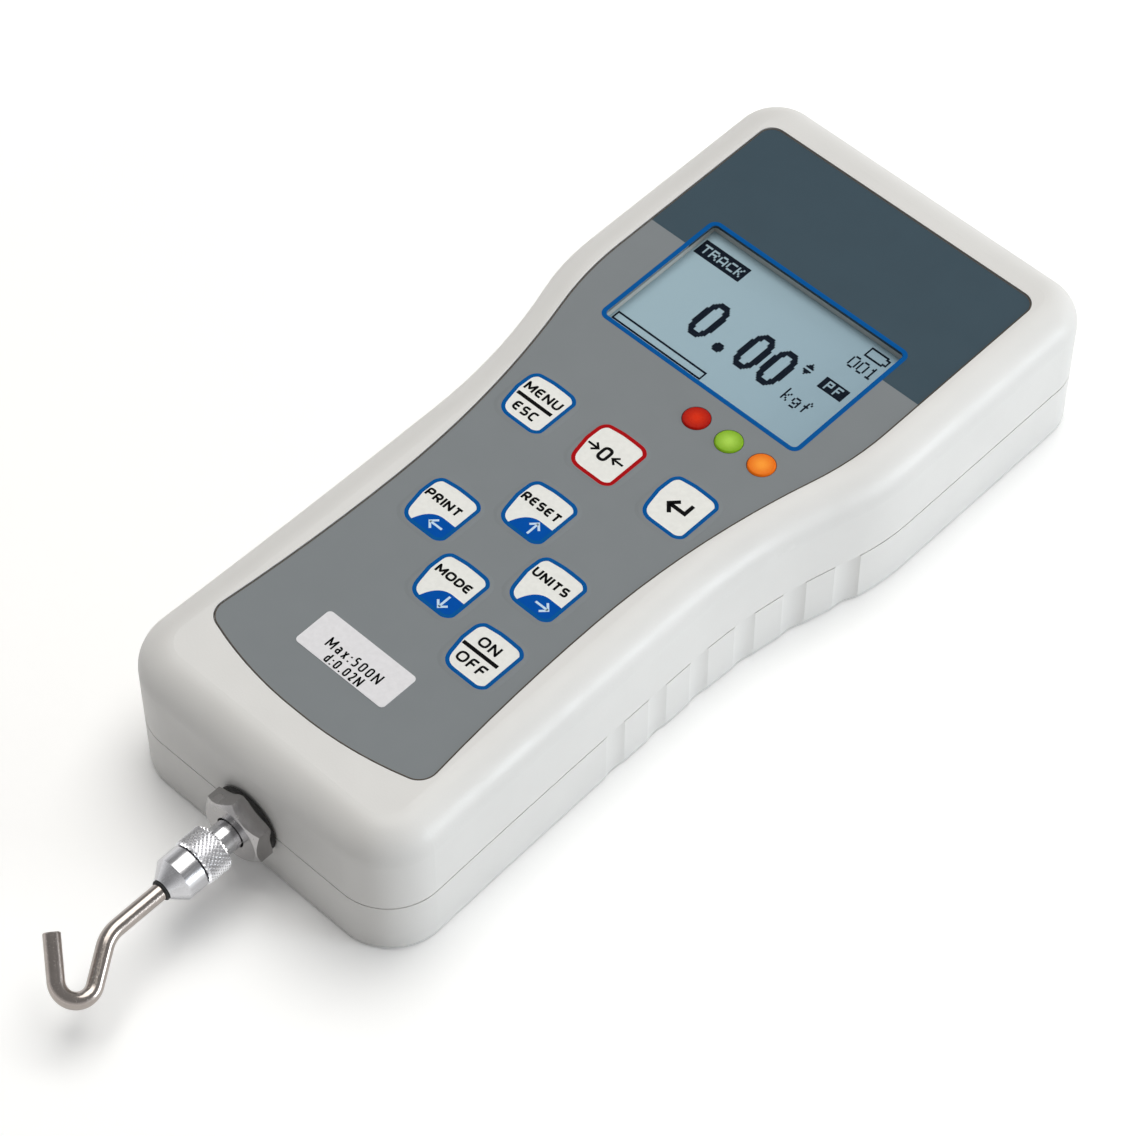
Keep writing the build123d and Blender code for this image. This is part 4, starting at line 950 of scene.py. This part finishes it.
class GAUGE_OT_knurl(bpy.types.Operator):
    """Replaces the plain lock ring with a knurled one"""
    bl_idname = "gauge.knurl"
    bl_label = "Knurled ring"

    def execute(self, context):
        settings = context.scene.gauge_metal
        low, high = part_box("lock_ring")
        radius = (high.x - low.x) / 2
        axis_z = (high.z + low.z) / 2
        teeth = round(2 * math.pi * radius / settings.knurl_pitch)
        around = teeth * KNURL_STEPS
        length = high.y - low.y
        rows = round(length / settings.knurl_pitch * KNURL_STEPS)

        def ridge(phase):
            """0 in a groove, 1 at the ridge between two grooves."""
            return 1 - abs((phase % 1.0) * 2 - 1)

        def ring(made, y, radius_at):
            """A ring of points at y, each at its own radius."""
            points = []
            for step in range(around):
                angle = 2 * math.pi * (step / around)
                here = radius_at(step / around)
                points.append(made.verts.new((here * math.cos(angle), y, axis_z + here * math.sin(angle))))
            return points

        def knurled(y):
            """The radius round the ring at y, for each share of a turn."""
            along = (y - low.y) / settings.knurl_pitch
            fall = max(0.0, 1 - min(y - low.y, high.y - y) / KNURL_END)

            def radius_at(turn):
                height = min(ridge(turn * teeth + along), ridge(turn * teeth - along))
                return radius - settings.knurl_depth * (1 - height) - KNURL_END * KNURL_FALL * fall

            return radius_at

        def fill(made):
            places = [low.y + length * row / rows for row in range(rows + 1)]
            rings = [ring(made, y, knurled(y)) for y in places]
            rings += [ring(made, y, lambda turn: KNURL_BORE) for y in (high.y, low.y)]
            close_loops(made, rings)

        # The knurl's nickel, made paler than the other fittings' as painted sheen for the brighter
        # reflections off its facets.
        metal = plated_metal("knurl_nickel", srgb(236, 236, 239), roughness=0.26)
        piece = add_piece("lock_ring_knurled", fill, metal, "lock_ring_body")
        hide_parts("lock_ring")
        return {"FINISHED"}


class GAUGE_OT_inside(bpy.types.Operator):
    """Finishes what is inside the housing and the sockets at its tail"""
    bl_idname = "gauge.inside"
    bl_label = "Inner parts"

    def execute(self, context):
        dress(["main_board"], circuit_board())
        dress(["batteries"], wrapped_cell())
        dress(
            [
                "battery_holder", "buzzer", "processor", "cell_connector", "tail_connector",
                "data_port_insert", "power_jack",
            ],
            moulded_plastic("black_plastic", srgb(30, 30, 31), grain=0.3 * MM, roughness=0.5),
        )
        dress(
            ["amplifier_shield", "data_port_shell", "battery_contacts", "key_domes"],
            plated_metal("tin_plate", srgb(180, 180, 178), roughness=0.26),
        )
        dress(["cell_flex", "keypad_tail"], printed_ink("flex_circuit", srgb(186, 110, 40)))
        plastics = {
            "gauge_potting": ("gauge_potting", srgb(226, 222, 210), 0.6 * MM, 0.5),
            "lcd_bezel": ("bezel_plastic", srgb(206, 206, 202), 0.3 * MM, 0.5),
            "lcd_backlight": ("backlight_plastic", srgb(236, 238, 240), 0.3 * MM, 0.3),
        }
        for node, (name, base, grain, roughness) in plastics.items():
            dress([node], moulded_plastic(name, base, grain, roughness))
        return {"FINISHED"}


class GAUGE_OT_display(bpy.types.Operator):
    """Finishes the display glass and lays its dark dots on it"""
    bl_idname = "gauge.display"
    bl_label = "Display"

    def execute(self, context):
        settings = context.scene.gauge_display
        dress(["lcd_glass"], display_glass(settings.glass))
        left, top = DOT_ORIGIN
        wide, high = settings.dot_width, settings.dot_height

        def fill(made):
            for column, row, length in runs(shown_dots()):
                x, y = left + column * wide, top - row * high
                corners = ((x, y - high * DOT_SHARE), (x + (length - 1 + DOT_SHARE) * wide, y))
                outline = [(corners[i][0], corners[j][1]) for i, j in ((0, 0), (1, 0), (1, 1), (0, 1))]
                prism(made, outline, GLASS_Z - INK_SINK, GLASS_Z + THIN_RISE)

        dots = printed_ink("display_dots", settings.dots, roughness=0.35)
        add_piece("display_dots", fill, dots, "housing")
        return {"FINISHED"}


class GAUGE_OT_window_frame(bpy.types.Operator):
    """Prints the blue line round the window, and draws a dark line round the film, a painted shadow of its
    gap to the housing
    """
    bl_idname = "gauge.window_frame"
    bl_label = "Window frame and film edge"

    def execute(self, context):
        settings = context.scene.gauge_print
        low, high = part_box("display_window")
        centre = node_centre("display_window")
        width, height = high.x - low.x, high.y - low.y
        line = settings.frame_line
        outer = rounded_rectangle(centre, width + 2 * line, height + 2 * line, FRAME_CORNER)
        inner = rounded_rectangle(centre, width + WINDOW_GAP, height + WINDOW_GAP, WINDOW_CORNER)
        add_piece(
            "window_frame_print",
            lambda made: ring_prism(made, outer, inner, FACE_Z - INK_SINK, FACE_Z + INK_RISE),
            ink("blue"), "housing",
        )
        # Painted shadow: a dark line round the film's edge, where the gap to the housing would fall in shade.
        edge = outer_loop("faceplate")
        within = inset_outline(edge, EDGE_SHADOW_WIDTH)
        add_piece(
            "panel_edge_line",
            lambda made: ring_prism(made, edge, within, FACE_Z - INK_SINK, FACE_Z + THIN_RISE),
            printed_ink("edge_shadow", srgb(88, 80, 72), roughness=0.6), "housing",
        )
        return {"FINISHED"}


def ink(colour):
    """The shared material of one printing colour."""
    if colour not in MATERIALS:
        MATERIALS[colour] = printed_ink(f"{colour}_ink", getattr(bpy.context.scene.gauge_print, colour))
    return MATERIALS[colour]


class GAUGE_OT_keys(bpy.types.Operator):
    """Prints each key's face, border, words and symbols"""
    bl_idname = "gauge.keys"
    bl_label = "Keys"

    def execute(self, context):
        settings = context.scene.gauge_print
        dress(KEY_NODES, printed_ink("key_face", settings.white, roughness=0.4))
        for node in KEY_NODES:
            self.film_edge(node)
            self.border(node, settings)
        for node, turn in ARROW_TURNS.items():
            self.swoosh(node, settings)
            self.small_arrow(node, turn)
        for node, lines in KEY_WORDS.items():
            self.words(node, lines, settings)
        self.zero_mark()
        self.enter_mark()
        return {"FINISHED"}

    def print_on(self, node, name, fill, colour):
        """A print that rides on a key."""
        add_piece(f"{node}_{name}", fill, ink(colour), f"{node}_body")

    def film_edge(self, node):
        """The grey film that runs up to a key's printed outline and covers the rest of the key."""
        centre = node_centre(node)
        inner = spokes(key_outline(node), centre)
        cover = spokes(inset_outline(top_outline(node), -FILM_LAP), centre)
        foot = spokes(inset_outline(top_outline(node), -FILM_FOOT), centre)
        outlines = (
            (inner, KEY_Z - INK_SINK), (inner, KEY_Z + INK_RISE), (cover, KEY_Z + UNDER_RISE),
            (foot, FACE_Z + FOOT_RISE), (foot, FACE_Z - INK_SINK), (cover, FACE_Z - INK_SINK),
        )
        add_piece(
            f"{node}_film_edge", lambda made: close_loops(made, flat_loops(made, outlines)),
            MATERIALS["film"], "housing",
        )

    def border(self, node, settings):
        """The coloured line round a key."""
        outer = key_outline(node)
        inner = inset_outline(outer, settings.key_border)
        self.print_on(
            node, "border", lambda made: ring_prism(made, outer, inner, KEY_Z - INK_SINK, KEY_Z + INK_RISE),
            "red" if node == "zero_key" else "blue",
        )

    def swoosh(self, node, settings):
        """The blue field that sweeps over a key's lower right corner."""
        centre = node_centre(node)
        edge = inset_outline(key_outline(node), settings.key_border * 0.5)
        start, bend, crest, end = (Vector(point) for point in on_key(node, SWOOSH_BEND))
        sweep = []
        for step in range(SWOOSH_STEPS + 1):
            share = step / SWOOSH_STEPS
            sweep.append(start.lerp(bend, share).lerp(bend.lerp(crest, share), share))
        sweep.append(end)

        def turn_of(point):
            """The point's turn round the key's middle."""
            return math.atan2(point[1] - centre[1], point[0] - centre[0])

        low, high = turn_of(start), turn_of(end)
        corner = sorted((point for point in edge if low < turn_of(point) < high), key=turn_of)
        outline = corner + [tuple(point) for point in sweep[::-1]]
        self.print_on(
            node, "swoosh", lambda made: prism(made, outline, KEY_Z - INK_SINK, KEY_Z + UNDER_RISE), "swoosh"
        )

    def small_arrow(self, node, turn):
        """The pale arrow on the blue field."""
        centre = Vector(on_key(node, [ARROW_MIDDLE])[0])
        spin = Matrix.Rotation(math.radians(turn), 2)

        def fill(made):
            for points in ARROW_PATHS:
                path = [tuple(centre + spin @ Vector((x * MM, y * MM))) for x, y in points]
                stroke(made, path, ARROW_STROKE, KEY_Z, KEY_Z + ARROW_RISE)

        self.print_on(node, "arrow", fill, "pale")

    def words(self, node, lines, settings):
        """The words on a key, with a bar between two of them."""
        def fill(made):
            write_lines(made, lines, node_centre(node), settings.letter_stroke, KEY_Z)
            if node in KEY_BARS:
                self.line(made, node, KEY_BARS[node], settings.bar)

        self.print_on(node, "words", fill, "black")

    def line(self, made, node, points, width):
        """Adds one line of print, through points given in millimetres from a key's middle."""
        stroke(made, on_key(node, points), width, KEY_Z - INK_SINK, KEY_Z + INK_RISE)

    def zero_mark(self):
        """The zero between two arrows."""
        def fill(made):
            ring = rounded_path(on_key("zero_key", ZERO_RING), ZERO_ROUNDING, True)
            stroke(made, ring, ZERO_STROKE, KEY_Z - INK_SINK, KEY_Z + INK_RISE, True)
            for side in (-1, 1):
                shaft = [(ZERO_MIDDLE + side * reach, 0) for reach in ZERO_SHAFT]
                head = [(ZERO_MIDDLE + side * reach, up) for reach, up in ZERO_HEAD]
                for path in (shaft, head):
                    self.line(made, "zero_key", path, ZERO_ARROW_STROKE)

        self.print_on("zero_key", "mark", fill, "black")

    def enter_mark(self):
        """The bent arrow of the enter key."""
        def fill(made):
            for path in ENTER_PATHS:
                self.line(made, "enter_key", path, ENTER_STROKE)

        self.print_on("enter_key", "mark", fill, "black")


class GAUGE_OT_lamps(bpy.types.Operator):
    """Finishes the three indicator lamps"""
    bl_idname = "gauge.lamps"
    bl_label = "Indicator lamps"

    def execute(self, context):
        # Each lamp's resin colour at its rim, then the lighter colour of the painted glow in its middle.
        tints = {
            "red_led": (srgb(158, 6, 0), srgb(214, 44, 4)),
            "green_led": (srgb(118, 166, 20), srgb(170, 212, 82)),
            "orange_led": (srgb(228, 100, 0), srgb(255, 158, 52)),
        }
        for node, (rim, glow_core) in tints.items():
            low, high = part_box(node)
            dress([node], tinted_lamp(f"{node}_resin", rim, glow_core, node_centre(node), (high.x - low.x) / 2))
        return {"FINISHED"}


class GAUGE_OT_label(bpy.types.Operator):
    """Sticks the pale rating label on the film"""
    bl_idname = "gauge.label"
    bl_label = "Rating label"

    def execute(self, context):
        middle = tuple(value * MM for value in LABEL_MIDDLE)
        outline = rounded_rectangle(middle, *LABEL_SIZE, LABEL_CORNER)
        top = FACE_Z + LABEL_RISE
        add_piece(
            "rating_label", lambda made: prism(made, outline, FACE_Z - INK_SINK, top),
            printed_ink("label_film", srgb(226, 225, 228), roughness=0.5), "housing",
        )
        add_piece(
            "rating_lines", lambda made: write_lines(made, LABEL_LINES, middle, LABEL_STROKE, top),
            ink("black"), "housing",
        )
        return {"FINISHED"}


class GAUGE_OT_stage(bpy.types.Operator):
    """Sets the floor, lamps, world and camera"""
    bl_idname = "gauge.stage"
    bl_label = "Stage"

    def execute(self, context):
        settings = context.scene.gauge_stage
        scene = context.scene
        scene.view_settings.view_transform = "Standard"
        self.floor()
        self.world(scene)
        self.lamp("side_lamp", power=settings.side_power, **SIDE_LAMP)
        self.lamp("top_lamp", power=settings.top_power, **TOP_LAMP)
        self.camera(scene, settings)
        return {"FINISHED"}

    def floor(self):
        """A wide pale floor just under the underside, white where nothing shades it."""
        mesh = bpy.data.meshes.new("floor")
        corners = [
            (x * FLOOR_REACH, y * FLOOR_REACH, FLOOR_Z) for x, y in ((-1, -1), (1, -1), (1, 1), (-1, 1))
        ]
        mesh.from_pydata(corners, [], [(0, 1, 2, 3)])
        finish = Finish("floor_paper", FLOOR_COLOUR, roughness=0.9)
        finish.fixed(Specular_IOR_Level=0.0)
        lifted = finish.node("ShaderNodeBsdfDiffuse")
        lift = finish.node("ShaderNodeMapRange")
        lift.inputs["To Max"].default_value = FLOOR_LIFT
        finish.join(self.seen(finish.tree), lift.inputs["Value"])
        finish.join(lift.outputs["Result"], lifted.inputs["Color"])
        far = finish.node("ShaderNodeMath", operation="MULTIPLY")
        finish.join(self.seen(finish.tree), far.inputs[0])
        finish.join(finish.spread(finish.length(finish.place), 0, 1, *FLOOR_FADE), far.inputs[1])
        glow = finish.node("ShaderNodeEmission", Color=(1, 1, 1, 1))
        finish.join(far.outputs[0], glow.inputs["Strength"])
        near = finish.add_shader(finish.shader.outputs[0], lifted.outputs[0])
        whole = finish.add_shader(near, glow.outputs[0])
        finish.join(whole, finish.tree.nodes["Material Output"].inputs["Surface"])
        mesh.materials.append(finish.material)
        floor = bpy.data.objects.new("floor", mesh)
        bpy.context.scene.collection.objects.link(floor)

    def seen(self, tree, kinds=("Is Camera Ray", "Is Glossy Ray", "Is Transmission Ray")):
        """1 for rays of those kinds, else 0."""
        path = tree.nodes.new("ShaderNodeLightPath")
        found = path.outputs[kinds[0]]
        for kind in kinds[1:]:
            either = tree.nodes.new("ShaderNodeMath")
            either.operation = "MAXIMUM"
            tree.links.new(found, either.inputs[0])
            tree.links.new(path.outputs[kind], either.inputs[1])
            found = either.outputs[0]
        return found

    def world(self, scene):
        """A studio surround: white behind the part, dim overhead in reflections, dim in front as light."""
        world = bpy.data.worlds.new("studio")
        scene.world = world
        world.use_nodes = True
        tree = world.node_tree
        background = tree.nodes["Background"]
        place = tree.nodes.new("ShaderNodeTexCoord").outputs["Generated"]

        def level(source, start, end, low, high):
            """The source's values from start to end, mapped to low and high."""
            made = tree.nodes.new("ShaderNodeMapRange")
            for name, value in (("From Min", start), ("From Max", end), ("To Min", low), ("To Max", high)):
                made.inputs[name].default_value = value
            tree.links.new(source, made.inputs["Value"])
            return made.outputs["Result"]

        def towards(direction):
            """1 along a direction, -1 away from it."""
            made = tree.nodes.new("ShaderNodeVectorMath")
            made.operation = "DOT_PRODUCT"
            tree.links.new(place, made.inputs[0])
            made.inputs[1].default_value = Vector(direction).normalized()
            return made.outputs["Value"]

        def choose(share, first, second):
            """The first where the share is 0, the second where it is 1."""
            made = tree.nodes.new("ShaderNodeMix")
            tree.links.new(share, made.inputs["Factor"])
            tree.links.new(first, made.inputs["A"])
            if isinstance(second, bpy.types.NodeSocket):
                tree.links.new(second, made.inputs["B"])
            else:
                made.inputs["B"].default_value = second
            return made.outputs["Result"]

        shading = level(towards((0.4, 0.5, 0.6)), start=-1, end=1, low=0.03, high=0.42)
        mirrored = level(towards((0, 0, 1)), start=0.1, end=0.5, low=1.0, high=0.34)
        shown = choose(self.seen(tree, ("Is Glossy Ray", "Is Transmission Ray")), shading, mirrored)
        tree.links.new(choose(self.seen(tree, ("Is Camera Ray",)), shown, 1.0), background.inputs["Strength"])
        background.inputs["Color"].default_value = (1, 1, 1, 1)

    def lamp(self, name, power, place, size, colour):
        """A square soft lamp aimed at the part."""
        light = bpy.data.lights.new(name, "AREA")
        light.shape = "SQUARE"
        light.size = size
        light.energy = power
        light.color = colour
        lamp = bpy.data.objects.new(name, light)
        lamp.location = place
        lamp.rotation_euler = (Vector((0, 0, 0)) - Vector(place)).to_track_quat("-Z", "Y").to_euler()
        bpy.context.scene.collection.objects.link(lamp)

    def camera(self, scene, settings):
        """A long-lens camera over the part's near right."""
        turn, rise = settings.azimuth, settings.elevation
        back = Vector((math.sin(turn) * math.cos(rise), -math.cos(turn) * math.cos(rise), math.sin(rise)))
        right = Vector((math.cos(turn), math.sin(turn), 0))
        up = back.cross(right)
        tilt = Matrix.Rotation(settings.roll, 3, back)
        right, up = tilt @ right, tilt @ up
        data = bpy.data.cameras.new("camera")
        data.sensor_width = CAMERA_SENSOR
        data.lens = settings.lens
        data.clip_start = CAMERA_CLIP
        camera = bpy.data.objects.new("camera", data)
        place = Matrix.Translation(Vector(CAMERA_AIM) * MM + back * settings.distance)
        camera.matrix_world = place @ Matrix((right, up, back)).transposed().to_4x4()
        scene.collection.objects.link(camera)
        scene.camera = camera


OPERATORS = [
    GAUGE_OT_housing,
    GAUGE_OT_fittings,
    GAUGE_OT_knurl,
    GAUGE_OT_inside,
    GAUGE_OT_display,
    GAUGE_OT_window_frame,
    GAUGE_OT_keys,
    GAUGE_OT_lamps,
    GAUGE_OT_label,
    GAUGE_OT_stage,
]


class GAUGE_PT_panel(bpy.types.Panel):
    """Lists the gauge's settings and operators"""
    bl_idname = "GAUGE_PT_panel"
    bl_label = "Force gauge"
    bl_space_type = "VIEW_3D"
    bl_region_type = "UI"
    bl_category = "Gauge"

    def draw(self, context):
        column = self.layout.column()
        for group, settings in SETTINGS.items():
            for name in settings.__annotations__:
                column.prop(getattr(context.scene, group), name)
        for operator in OPERATORS:
            column.operator(operator.bl_idname)


CLASSES = [*SETTINGS.values(), *OPERATORS, GAUGE_PT_panel]


def register():
    """Adds the classes and the scene's settings."""
    for cls in CLASSES:
        bpy.utils.register_class(cls)
    for group, settings in SETTINGS.items():
        setattr(bpy.types.Scene, group, bpy.props.PointerProperty(type=settings))


def unregister():
    """Takes them away again."""
    for group in SETTINGS:
        delattr(bpy.types.Scene, group)
    for cls in reversed(CLASSES):
        bpy.utils.unregister_class(cls)


def main():
    """Finishes the whole part."""
    register()
    for operator in OPERATORS:
        group, name = operator.bl_idname.split(".")
        getattr(getattr(bpy.ops, group), name)()


if __name__ == "__main__":
    main()
